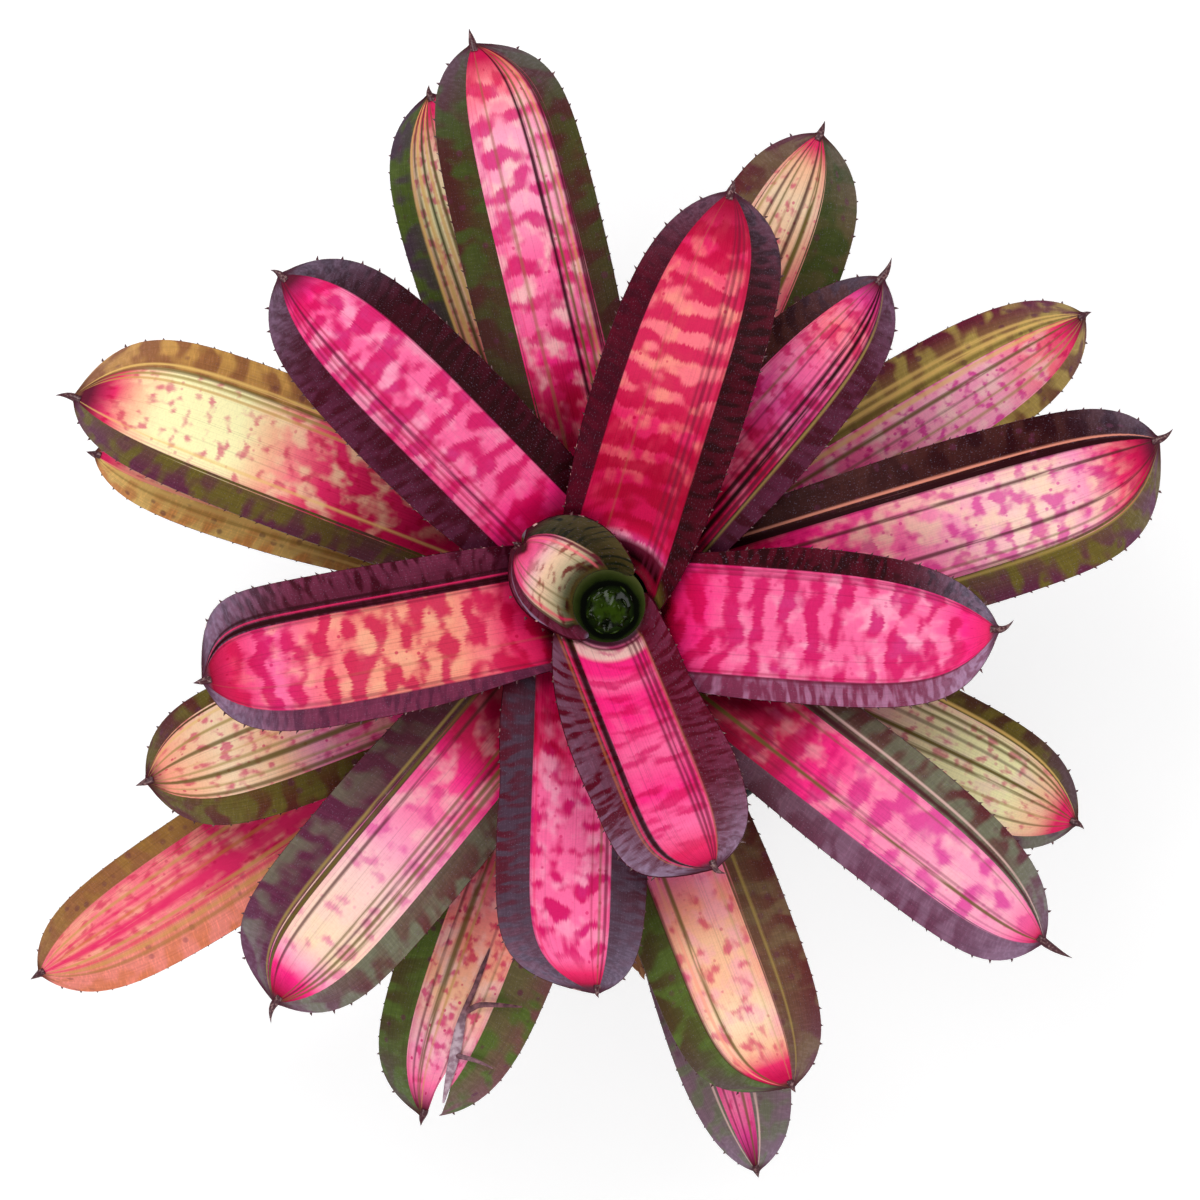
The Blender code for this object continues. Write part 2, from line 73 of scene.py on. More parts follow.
# Leaf shape shared by all leaves, repeated from the fixed model.
LEAF_THICKNESS = 0.9
SHEATH_HALF_WIDTH = 38.0
SHEATH_WRAP = 90.0
NECK_SHARE = (0.97, 0.72)
NECK_REACH = 0.6
STRAP_START_RADIUS = 38.0
STRAP_END_RADIUS = 80.0
CHANNEL_DEPTH = 2.6
WAVE_HEIGHT = 0.7
WAVE_LENGTH = 47.0
CHANNEL_BALANCE = 0.3
CHANNEL_START = 20.0
CHANNEL_END = 70.0
SHEATH_END_SHARE = 0.9
STRAP_START = 22.0
TIP_HALF_WIDTH = 1.3
TIP_BLUNTNESS = 0.85

# Mesh of a fine leaf.
COLUMNS = 22
SHEATH_ROW_PITCH = 6.0
BLADE_ROW_PITCH = 3.0
TIP_ROWS = (16.0, 12.5, 10.0, 8.0, 6.0, 4.5, 3.2, 2.0, 1.0, 0.0)

# Teeth along the margins and the spine at the tip.
TOOTH_PITCH = 7.2
TOOTH_HEIGHT = 1.3
TOOTH_GROWTH = (1.5, 0.8)
TOOTH_LEAN = 0.8
TOOTH_SINK = 0.6
TOOTH_RADIUS = 1.05
TOOTH_SIDES = 6
TOOTH_SIZES = (0.75, 1.15)
TOOTH_FLATNESS = 0.45
FIRST_TOOTH = 7.0
TOOTH_START = 12.0
SPINE_RADIUS = 1.9
SPINE_ROOT = 3.5
SPINE_SHARE = 0.92
SPINE_STEPS = 7
SPINE_ROOT_FULLNESS = 0.35
SPINE_THINNING = 0.3
SPINE_AIM = 4.0
SPINE_FLATNESS = 0.7
LEAST_TUBE_RADIUS = 0.02
TUBE_SIDES = 8

# Veins gather towards the tip over this many times the margin's own taper.
GATHER = 1.35
LEAST_GATHER = 0.05
VEIN_BEND_START = 15.0
VEIN_BEND_END = 22.0

# The rolled left margin of the youngest leaf.
ROLL_BREADTH = 9.0
ROLL_START = 18.0
ROLL_END = 28.0
ROLL_IN = 3.0
ROLL_UP = 3.2

# The notch at its tip.
NOTCH_DEPTH = 3.4
NOTCH_HALF_WIDTH = 3.0
NOTCH_LENGTH = 11.0

# The tear in leaf_19, by distance from its tip.
SPLIT_LEAF = 19
SPLIT_LENGTH = 30.0
SPLIT_OPEN_LENGTH = 12.0
SPLIT_MIDDLE = 4.5
SPLIT_HALF_OPENING = 3.0
SPLIT_ROOT_HALF_WIDTH = 0.5
SPLIT_FADE = 22.0
SPLIT_LEAST_LOBE = 0.8
SPLIT_CLEARANCE = 1.0
SPLIT_LEAST_EDGE = 0.4
SPLIT_LEAST_OPENING = 0.6

# Cup, pot and mix, repeated from the fixed model.
WATER_FLOOR = 193.0
WATER_LEVEL = 211.5
HEAD_FOOT_HEIGHT = 187.6
POT_HEIGHT = 155.0
POT_BASE_RADIUS = 78.0
POT_RIM_RADIUS = 108.5
POT_LIP_WIDTH = 6.0
POT_LIP_DEPTH = 14.0
POT_WALL = 2.0
POT_FLOOR = 3.2
DRAIN_COUNT = 8
DRAIN_RADIUS = 5.5
DRAIN_CIRCLE = 58.0
MIX_EDGE_HEIGHT = 134.0
MIX_CROWN_HEIGHT = 139.0
STEM_FOOT_RADIUS = 17.0

# How much of the light a leaf's wax reflects.
LEAF_GLOSS = 0.07
YOUNGEST_GLOSS = 0.14

# Camera: straight above the plant, as in the photograph.
CAMERA_HEIGHT = 1.75
CAMERA_X = -0.003
CAMERA_Y = 0.0017
CAMERA_LENS = 105.66
CAMERA_SENSOR = 36.0

# A leaf's direction in degrees from +X towards +Y, its reach from the axis and its greatest half-widths,
# left and right of the line to its tip as seen looking outwards, as in the fixed model.
Leaf = namedtuple("Leaf", "direction reach left right left_taper right_taper spine lean")
LEAVES = (
    Leaf(148.0, 47.0, 30.0, 33.0, 5.5, 4.5, 1.5, 0.0),
    Leaf(-67.8, 118.0, 26.0, 37.0, 9.0, 6.0, 4.5, 1.0),
    Leaf(73.3, 176.0, 33.0, 33.0, 20.0, 11.0, 5.5, 0.0),
    Leaf(190.8, 169.0, 29.0, 34.5, 10.5, 5.5, 4.5, 0.0),
    Leaf(-3.7, 162.0, 30.0, 37.0, 19.0, 12.0, 6.5, 0.8),
    Leaf(134.8, 191.5, 30.0, 35.5, 13.0, 13.5, 4.5, 0.4),
    Leaf(-91.5, 162.0, 20.0, 44.0, 9.0, 8.0, 2.0, 0.5),
    Leaf(49.9, 178.0, 30.0, 28.0, 26.0, 13.0, 9.5, 0.3),
    Leaf(-37.7, 230.0, 31.5, 26.5, 18.0, 9.5, 15.0, 0.15),
    Leaf(103.5, 241.0, 26.0, 35.5, 12.0, 10.5, 7.5, 0.0),
    Leaf(-129.8, 218.0, 30.5, 38.5, 11.5, 8.5, 8.5, 0.6),
    Leaf(16.6, 243.0, 25.5, 46.5, 14.0, 12.5, 8.0, 0.4),
    Leaf(158.8, 242.5, 21.5, 42.5, 13.0, 13.0, 8.5, 0.3),
    Leaf(-69.0, 220.0, 26.0, 41.0, 12.0, 9.0, 3.0, 0.2),
    Leaf(65.6, 220.5, 30.5, 35.0, 17.5, 14.5, 6.5, 0.1),
    Leaf(-158.9, 211.5, 34.5, 30.0, 12.0, 12.5, 5.5, 0.0),
    Leaf(-25.0, 223.0, 31.0, 28.0, 15.0, 13.5, 4.5, -0.3),
    Leaf(109.2, 233.0, 33.0, 30.0, 14.5, 16.0, 4.5, -0.3),
    Leaf(-109.8, 236.0, 34.5, 34.0, 18.0, 12.5, 5.0, 0.2),
    Leaf(31.2, 243.0, 28.0, 29.5, 19.5, 17.0, 4.0, -0.2),
    Leaf(163.7, 233.0, 20.5, 34.0, 16.0, 16.0, 4.5, 0.0),
    Leaf(-75.2, 258.0, 27.5, 26.0, 16.0, 26.0, 3.5, 0.0),
    Leaf(-146.9, 301.0, 31.0, 25.0, 19.0, 17.5, 6.0, 0.0),
    Leaf(-84.5, 163.0, 17.0, 15.0, 13.0, 15.0, 3.0, 0.3),
)

YOUNGEST = LEAVES[0]

# Leaf colours in daylight, as red, green and blue in hexadecimal.
PALETTE = {
    "night": 0x2A040A,
    "maroon": 0x42081A,
    "claret": 0x58081F,
    "wine": 0x641630,
    "plum": 0x5C243E,
    "rosewood": 0x7E3250,
    "mauve": 0x805870,
    "orchid": 0xB0789A,
    "slate": 0x4E3848,
    "lilac": 0xA79AB8,
    "ruby": 0xA00A34,
    "crimson": 0xC80F4C,
    "rose": 0xEA2A66,
    "hot": 0xFF2A86,
    "magenta": 0xE0408E,
    "pink": 0xFF6CA2,
    "blush": 0xFFA2C0,
    "salmon": 0xFF7A88,
    "peach": 0xFFA088,
    "apricot": 0xFFC29C,
    "shell": 0xFFCFC8,
    "cream": 0xFFDDB8,
    "butter": 0xFFF6BC,
    "straw": 0xECC070,
    "gold": 0xCC9A50,
    "brass": 0x9E7434,
    "khaki": 0xA68C4A,
    "bronze": 0x94603A,
    "copper": 0xD0743C,
    "coral": 0xEC8878,
    "bark": 0x70563E,
    "umber": 0x48221E,
    "olive": 0x665824,
    "moss": 0x40481E,
    "fern": 0x54642A,
    "lichen": 0x6E6C58,
    "sage": 0x6A7052,
    "throat": 0x141C08,
    "reed": 0xC4BE96,
}

# How one leaf is coloured. band: the bright middle, from its right to its left edge, where a vein's place is
# its distance from the middle line at the leaf's widest. haze: the paler tone of its clouds, its strength.
# bars: stain, strength, cover, pitch, width and regularity of the cross-bars. left and right: colour of a
# margin, colour of its cross-bands and their strength. bands: their pitch. bloom: how waxy the
# margins get towards the tip, together with a painted sheen there. freckles: strength of the round dots.
# throat: colour and breadth of the pale lip where the leaf leaves the cup. along: distance from the axis and
# colour, for each tone of the band. lines: place, half-width, colour and strength of each lengthwise line.
LIP = ("ruby", 5.0)
Look = namedtuple("Look", "band haze bars left right bands bloom freckles along lines throat", defaults=[LIP])
STAINS = {"crimson": 0xD846A4, "magenta": 0xDC4CC8, "wine": 0xA04858}
LOOKS = (
    # The youngest leaf's lilac line at 25.5 is a painted highlight along its rolled left margin.
    Look(
        band=(-16.0, 19.0), haze=("cream", 0.1), bars=("wine", 0.95, 0.12, 4.6, 7.0, 0.0),
        left=("claret", "rosewood", 0.6), right=("throat", "olive", 0.4), bands=2.4, bloom=0.06,
        freckles=0.0, throat=("olive", 0.5),
        along="15 olive, 19 sage, 23 reed, 30 cream, 34 shell, 38 pink, 46 rose",
        lines="-14.6 0.8 wine 0.9, -12.2 0.5 salmon 0.8, -9.0 0.3 olive 0.6, 8.5 0.3 olive 0.6, "
              "13.0 0.4 olive 0.7, 16.5 0.6 rose 0.7, 18.6 0.7 night 0.8, 25.5 0.9 lilac 0.7",
    ),
    Look(
        band=(-20.0, 9.0), haze=("pink", 0.5), bars=("crimson", 0.8, 0.13, 7.0, 16.0, 0.1),
        left=("claret", "rosewood", 0.6), right=("claret", "mauve", 0.7), bands=3.6, bloom=0.8,
        freckles=0.2, throat=("plum", 0.8),
        along="16 plum, 18.6 plum, 19.4 blush, 20.2 wine, 21.2 shell, 24.2 shell, 26.0 hot, 31 hot, "
              "36 pink, 41 hot, 50 hot, 66 pink, 82 hot, 98 pink, 108 rose, 114 crimson",
        lines="2.0 0.6 wine 0.75, 4.2 0.7 wine 0.8, 6.6 0.8 wine 0.8, 8.8 0.5 bronze 0.6, "
              "-21.5 1.0 night 0.9, -23.5 0.35 rose 0.8, -25.0 0.3 copper 0.4",
    ),
    # The third leaf's first tones, night and wine by the cup, are painted shade in the gap between its sheath
    # and the cup.
    Look(
        band=(-19.5, 22.0), haze=("peach", 0.6), bars=("crimson", 0.95, 0.2, 12.6, 16.0, 0.26),
        left=("maroon", "claret", 0.7), right=("night", "claret", 0.6), bands=6.0, bloom=0.3, freckles=0.8,
        throat=("ruby", 3.0),
        along="24 night, 28.5 wine, 31 blush, 34 rose, 38 crimson, 60 crimson, 80 rose, 96 salmon, "
              "126 salmon, 150 rose, 170 ruby",
        lines="-10.2 0.5 wine 0.5, -12.8 0.7 wine 0.65, -15.6 0.6 wine 0.55, 9.5 0.3 bronze 0.3, "
              "-18.6 0.4 ruby 0.6",
    ),
    Look(
        band=(-17.5, 20.5), haze=("apricot", 0.5), bars=("crimson", 0.95, 0.17, 12.4, 11.0, 0.2),
        left=("plum", "rosewood", 0.7), right=("maroon", "rosewood", 0.6), bands=5.0, bloom=0.9,
        freckles=0.8, throat=("ruby", 3.0),
        along="26 wine, 34 crimson, 44 rose, 54 salmon, 66 peach, 100 peach, 122 salmon, 140 pink, "
              "156 rose, 165 ruby",
        lines="-19.2 1.1 night 1.0, -21.4 0.5 rose 0.8, -22.8 0.6 night 0.8, -16.4 0.3 wine 0.5, "
              "9.0 0.3 bronze 0.3, 19.0 0.4 wine 0.5",
    ),
    Look(
        band=(-27.0, 20.0), haze=("blush", 0.9), bars=("crimson", 0.95, 0.18, 11.5, 13.0, 0.2),
        left=("night", "claret", 0.7), right=("rosewood", "orchid", 0.7), bands=4.4, bloom=0.8,
        freckles=0.4, throat=("ruby", 3.0),
        along="28 crimson, 42 hot, 58 pink, 136 pink, 148 hot, 158 rose",
        lines="-27.4 0.4 wine 0.8, -25.6 0.3 ruby 0.4, 16.4 0.5 wine 0.45, 18.6 0.5 wine 0.6",
    ),
    Look(
        band=(-20.5, 15.5), haze=("blush", 0.9), bars=("crimson", 0.95, 0.19, 12.0, 12.0, 0.14),
        left=("maroon", "plum", 0.7), right=("night", "maroon", 0.7), bands=6.0, bloom=0.5, freckles=0.5,
        along="40 crimson, 56 hot, 72 pink, 165 pink, 176 hot, 186 wine",
        lines="7.8 0.7 wine 0.85, 5.0 0.4 ruby 0.6, 10.6 0.5 ruby 0.6, 13.0 0.4 wine 0.5",
    ),
    Look(
        band=(-30.0, 4.5), haze=("blush", 0.9), bars=("crimson", 1.0, 0.13, 13.5, 8.0, 0.16),
        left=("slate", "maroon", 0.8), right=("slate", "claret", 0.8), bands=5.0, bloom=0.6, freckles=0.7,
        along="50 crimson, 66 rose, 80 pink, 148 pink, 154 rose, 160 ruby",
        lines="0.2 0.5 olive 0.6, 2.8 0.6 wine 0.75, -3.4 0.4 ruby 0.4, -28.0 0.4 rose 0.5",
    ),
    Look(
        band=(-17.0, 16.5), haze=("blush", 0.4), bars=("crimson", 0.85, 0.14, 9.0, 7.0, 0.12),
        left=("umber", "night", 0.8), right=("maroon", "plum", 0.7), bands=7.0, bloom=0.3, freckles=0.4,
        along="60 crimson, 90 crimson, 112 magenta, 132 pink, 152 salmon, 166 magenta, 174 wine",
        lines="-8.6 1.0 night 0.95, -11.9 1.2 night 1.0, -15.0 0.7 wine 0.9, -5.6 0.4 wine 0.6, "
              "1.6 0.5 wine 0.6, 7.0 0.5 olive 0.6, -17.9 0.4 khaki 0.7",
    ),
    Look(
        band=(-13.5, 18.0), haze=("shell", 0.35), bars=("magenta", 0.8, 0.15, 15.0, 11.0, 0.18),
        left=("lichen", "claret", 0.8), right=("mauve", "plum", 0.7), bands=11.9, bloom=0.5, freckles=0.3,
        along="70 ruby, 95 crimson, 114 hot, 130 pink, 175 blush, 210 blush, 220 pink, 227 crimson",
        lines="18.9 0.9 maroon 0.85, 21.8 0.3 shell 0.6, -6.0 0.7 olive 0.9, -3.8 0.4 wine 0.5, "
              "13.6 0.4 olive 0.5, -11.0 0.3 wine 0.3",
    ),
    Look(
        band=(-24.5, 10.0), haze=("shell", 0.7), bars=("crimson", 0.9, 0.15, 15.0, 11.0, 0.22),
        left=("moss", "umber", 1.0), right=("umber", "moss", 0.7), bands=14.4, bloom=0.3, freckles=0.7,
        along="90 crimson, 106 hot, 124 pink, 150 pink, 172 blush, 200 blush, 222 salmon, 234 crimson",
        lines="-13.4 0.8 night 0.95, -16.0 0.5 olive 0.9, -19.6 0.5 olive 0.8, -21.6 0.5 gold 0.6, "
              "-23.6 0.8 maroon 0.9, 1.4 0.5 bronze 0.6, 6.4 0.3 rose 0.3",
    ),
    Look(
        band=(-18.5, 17.5), haze=("shell", 0.5), bars=("magenta", 0.6, 0.08, 11.0, 9.0, 0.08),
        left=("lichen", "claret", 0.75), right=("plum", "lichen", 0.7), bands=13.6, bloom=0.4,
        freckles=0.25,
        along="62 ruby, 84 crimson, 98 hot, 112 pink, 136 blush, 156 shell, 188 cream, 198 blush, "
              "205 hot, 214 ruby",
        lines="4.8 0.5 olive 0.7, 7.6 0.7 umber 0.75, 10.6 0.8 olive 0.85, 13.6 0.9 olive 0.8, "
              "-13.2 0.7 umber 0.8, -18.6 0.7 olive 0.9, -21.6 0.5 khaki 0.7",
    ),
    Look(
        band=(-31.5, 6.5), haze=("cream", 0.6), bars=("magenta", 0.8, 0.12, 11.0, 6.0, 0.08),
        left=("night", "umber", 0.7), right=("olive", "plum", 0.9), bands=13.6, bloom=0.35, freckles=0.7,
        along="70 crimson, 95 hot, 126 pink, 154 blush, 174 shell, 190 shell, 206 blush, 222 rose, "
              "232 crimson, 238 wine",
        lines="8.6 1.8 night 1.0, 11.6 0.6 peach 0.7, 0.3 0.8 umber 0.85, -19.5 0.9 umber 0.85, "
              "-27.0 0.5 olive 0.6, -30.2 0.6 umber 0.7, -33.0 0.6 khaki 0.7",
    ),
    Look(
        band=(-31.0, 9.0), haze=("butter", 0.5), bars=("crimson", 0.75, 0.05, 9.0, 6.0, 0.06),
        left=("olive", "plum", 0.9), right=("bronze", "gold", 0.8), bands=13.6, bloom=0.2, freckles=0.5,
        along="60 crimson, 115 crimson, 132 rose, 146 salmon, 158 apricot, 172 butter, 204 butter, "
              "216 apricot, 226 rose, 236 wine",
        lines="-24.0 0.5 gold 0.7, -26.8 0.6 khaki 0.8, -29.4 0.7 olive 0.8, -31.8 0.6 straw 0.8, "
              "4.4 0.5 straw 0.6",
    ),
    Look(
        band=(-27.0, 5.5), haze=("blush", 0.5), bars=("crimson", 0.75, 0.07, 12.0, 6.0, 0.06),
        left=("bark", "claret", 0.7), right=("fern", "umber", 0.7), bands=14.4, bloom=0.25, freckles=0.5,
        along="100 rose, 116 pink, 134 peach, 150 apricot, 168 apricot, 186 cream, 200 apricot, 208 rose, "
              "214 crimson",
        lines="-19.4 0.8 olive 0.85, -22.6 0.5 peach 0.7, -26.6 0.7 umber 0.7, 11.5 0.4 khaki 0.6, "
              "1.5 0.3 khaki 0.4",
    ),
    Look(
        band=(-16.0, 16.0), haze=("cream", 0.4), bars=("crimson", 0.75, 0.06, 8.0, 5.0, 0.06),
        left=("bark", "claret", 0.8), right=("moss", "bark", 0.5), bands=13.6, bloom=0.2, freckles=0.7,
        along="120 rose, 150 salmon, 170 apricot, 188 cream, 204 apricot, 214 rose",
        lines="-6.6 1.0 umber 0.9, -11.4 1.2 olive 0.95, 4.6 0.6 olive 0.8, 8.6 0.9 umber 0.8, "
              "13.4 0.6 khaki 0.7, 0.0 0.5 bronze 0.6",
    ),
    Look(
        band=(-23.5, 22.0), haze=("cream", 0.4), bars=("crimson", 0.75, 0.07, 9.0, 5.0, 0.06),
        left=("olive", "claret", 0.75), right=("olive", "claret", 0.75), bands=14.4, bloom=0.15,
        freckles=0.8,
        along="95 hot, 118 pink, 138 blush, 154 apricot, 175 cream, 190 apricot, 202 peach, 208 wine",
        lines="9.4 1.3 olive 0.9, 5.2 0.5 khaki 0.7, -5.4 1.0 olive 0.85, -13.0 0.7 khaki 0.8, "
              "15.2 0.5 khaki 0.6, 0.6 0.3 gold 0.5, 19.6 0.9 olive 0.8, -19.8 0.7 straw 0.6",
    ),
    Look(
        band=(-22.5, 22.0), haze=("shell", 0.5), bars=("crimson", 0.7, 0.06, 9.0, 5.0, 0.06),
        left=("olive", "umber", 0.8), right=("lichen", "plum", 0.8), bands=13.6, bloom=0.3, freckles=0.4,
        along="110 pink, 138 cream, 156 butter, 190 butter, 206 apricot, 214 rose",
        lines="5.2 1.0 olive 0.95, 0.6 0.7 olive 0.8, -7.0 0.5 khaki 0.6, 12.0 0.5 umber 0.6, "
              "-14.0 0.6 olive 0.7, 16.4 0.7 olive 0.8, 19.6 0.8 olive 0.85, 24.2 0.5 straw 0.8",
    ),
    Look(
        band=(-20.0, 23.0), haze=("cream", 0.4), bars=("crimson", 0.8, 0.09, 8.0, 5.0, 0.08),
        left=("fern", "slate", 0.9), right=("moss", "plum", 0.7), bands=13.6, bloom=0.12, freckles=0.5,
        along="110 rose, 140 apricot, 180 butter, 205 cream, 224 rose",
        lines="22.6 0.8 straw 0.85, 20.8 0.6 moss 0.8, 18.6 0.9 straw 0.85, 15.8 0.8 moss 0.9, "
              "13.0 0.6 straw 0.8, 10.6 0.7 olive 0.9, 6.0 0.6 olive 0.7",
    ),
    Look(
        band=(-20.0, 14.5), haze=("shell", 0.6), bars=("crimson", 0.85, 0.08, 8.0, 5.0, 0.06),
        left=("fern", "rosewood", 0.6), right=("fern", "umber", 0.6), bands=13.6, bloom=0.25, freckles=0.9,
        along="110 rose, 134 salmon, 160 peach, 182 apricot, 205 blush, 222 pink, 232 wine",
        lines="-11.0 1.2 olive 0.85, -7.4 0.4 gold 0.7, -15.4 0.5 umber 0.7, 8.8 0.4 olive 0.5, "
              "3.0 0.4 wine 0.5",
    ),
    Look(
        band=(-22.5, 9.0), haze=("shell", 0.7), bars=("magenta", 0.85, 0.09, 8.0, 5.0, 0.06),
        left=("khaki", "wine", 0.9), right=("khaki", "claret", 0.7), bands=15.3, bloom=0.2, freckles=0.8,
        along="70 rose, 100 pink, 128 pink, 160 blush, 192 blush, 215 salmon, 230 rose, 240 wine",
        lines="1.6 0.9 olive 0.9, 6.8 1.2 straw 0.7, 10.6 0.7 olive 0.6, -4.5 0.5 olive 0.6, "
              "-10.0 0.5 khaki 0.7, -15.0 0.7 khaki 0.7, 13.4 1.1 straw 0.7, 17.2 0.9 straw 0.6",
    ),
    Look(
        band=(-18.0, 8.0), haze=("butter", 0.5), bars=("crimson", 0.7, 0.06, 9.0, 5.0, 0.06),
        left=("straw", "copper", 0.6), right=("gold", "plum", 0.7), bands=13.6, bloom=0.12, freckles=0.7,
        along="100 rose, 130 apricot, 200 apricot, 226 rose",
        lines="9.8 0.8 straw 0.9, 12.6 0.7 brass 0.6, 14.8 0.5 straw 0.6, 7.2 0.6 peach 0.8",
    ),
    Look(
        band=(-11.0, 7.0), haze=("blush", 0.3), bars=("crimson", 0.6, 0.06, 10.0, 5.0, 0.06),
        left=("lichen", "mauve", 0.7), right=("lichen", "mauve", 0.7), bands=11.9, bloom=0.4, freckles=0.4,
        along="120 rose, 190 magenta, 228 pink, 240 magenta, 254 wine",
        lines="-2.0 0.6 wine 0.7, 3.0 0.7 olive 0.8, -7.4 0.5 umber 0.7, 9.4 0.5 shell 0.7, "
              "-13.0 0.5 shell 0.6",
    ),
    Look(
        band=(-15.0, 13.0), haze=("apricot", 0.5), bars=("crimson", 0.7, 0.1, 11.0, 3.5, 0.03),
        left=("coral", "copper", 0.6), right=("bronze", "brass", 0.6), bands=15.3, bloom=0.12, freckles=0.5,
        along="120 wine, 165 rose, 205 rose, 226 salmon, 262 salmon, 282 peach, 294 salmon",
        lines="4.2 2.8 rose 0.9, -0.8 0.7 copper 0.7, -4.6 0.9 rose 0.7, -9.0 0.7 gold 0.7, "
              "10.4 0.9 gold 0.7, 13.4 0.9 rose 0.6, 16.6 1.2 gold 0.6, 20.4 0.9 brass 0.6",
    ),
)


def between(pair, share):
    """The value a share of the way from the first of a pair to the second."""
    return pair[0] + (pair[1] - pair[0]) * share


def ease(start, end, value):
    """0 before start and 1 after end, with a smooth rise between."""
    share = min(max((value - start) / (end - start), 0.0), 1.0)
    return share * share * (3.0 - 2.0 * share)


def heading(degrees):
    """A flat unit vector in the given direction."""
    return Vector((math.cos(math.radians(degrees)), math.sin(math.radians(degrees))))


class Shell:
    """The surface that one leaf follows, as radius and height against length along the leaf."""

    def __init__(self, rank, reach):
        age = rank / (LEAF_COUNT - 1)
        foot = Vector((between(FOOT_RADIUS, age), between(FOOT_HEIGHT, age)))
        waist = Vector((between(WAIST_RADIUS, age), between(WAIST_HEIGHT, age)))
        pull = (waist - foot).length / 3.0
        foot_handle = foot + heading(between(FOOT_ANGLE, age)) * pull
        waist_handle = waist - heading(between(WAIST_ANGLE, age)) * pull
        points = interpolate_bezier(foot, foot_handle, waist_handle, waist, SHEATH_POINTS)
        points += self.blade_points(age, waist, reach)
        self.radius = np.array([point.x for point in points])
        self.height = np.array([point.y for point in points])
        steps = np.hypot(np.diff(self.radius), np.diff(self.height))
        self.length = np.concatenate([[0.0], np.cumsum(steps)])
        self.waist_length = self.length[SHEATH_POINTS - 1]
        self.leaf_length = float(np.interp(reach, self.radius, self.length))

    @staticmethod
    def blade_points(age, waist, reach):
        """Points past the waist, a millimetre apart, where the slope falls off step by step."""
        points = []
        place = waist.copy()
        walked = 0.0
        blade_angle = between(BLADE_ANGLE, age)
        while place.x < reach + SHELL_OVERRUN:
            flared = ease(0.0, between(FLARE_LENGTH, age), walked)
            angle = between((between(WAIST_ANGLE, age), blade_angle), flared)
            far_bend = between(FAR_ANGLE, age) - blade_angle
            angle += far_bend * ease(BEND_START_RADIUS, BEND_END_RADIUS, place.x)
            outward = (place.x - waist.x) / (reach - waist.x)
            angle -= TIP_DROP_ANGLE * ease(TIP_DROP_START, TIP_DROP_END, outward)
            place = place + heading(angle)
            walked += 1.0
            points.append(place)
        return points

    def radius_at(self, length):
        """Distance from the plant's axis at a length along the leaf."""
        return float(np.interp(length, self.length, self.radius))

    def height_at(self, radius):
        """Height of the shell at a distance from the plant's axis."""
        return float(np.interp(radius, self.radius, self.height))

    def length_at(self, radius):
        """Length along the leaf at a distance from the plant's axis."""
        return float(np.interp(radius, self.radius, self.length))


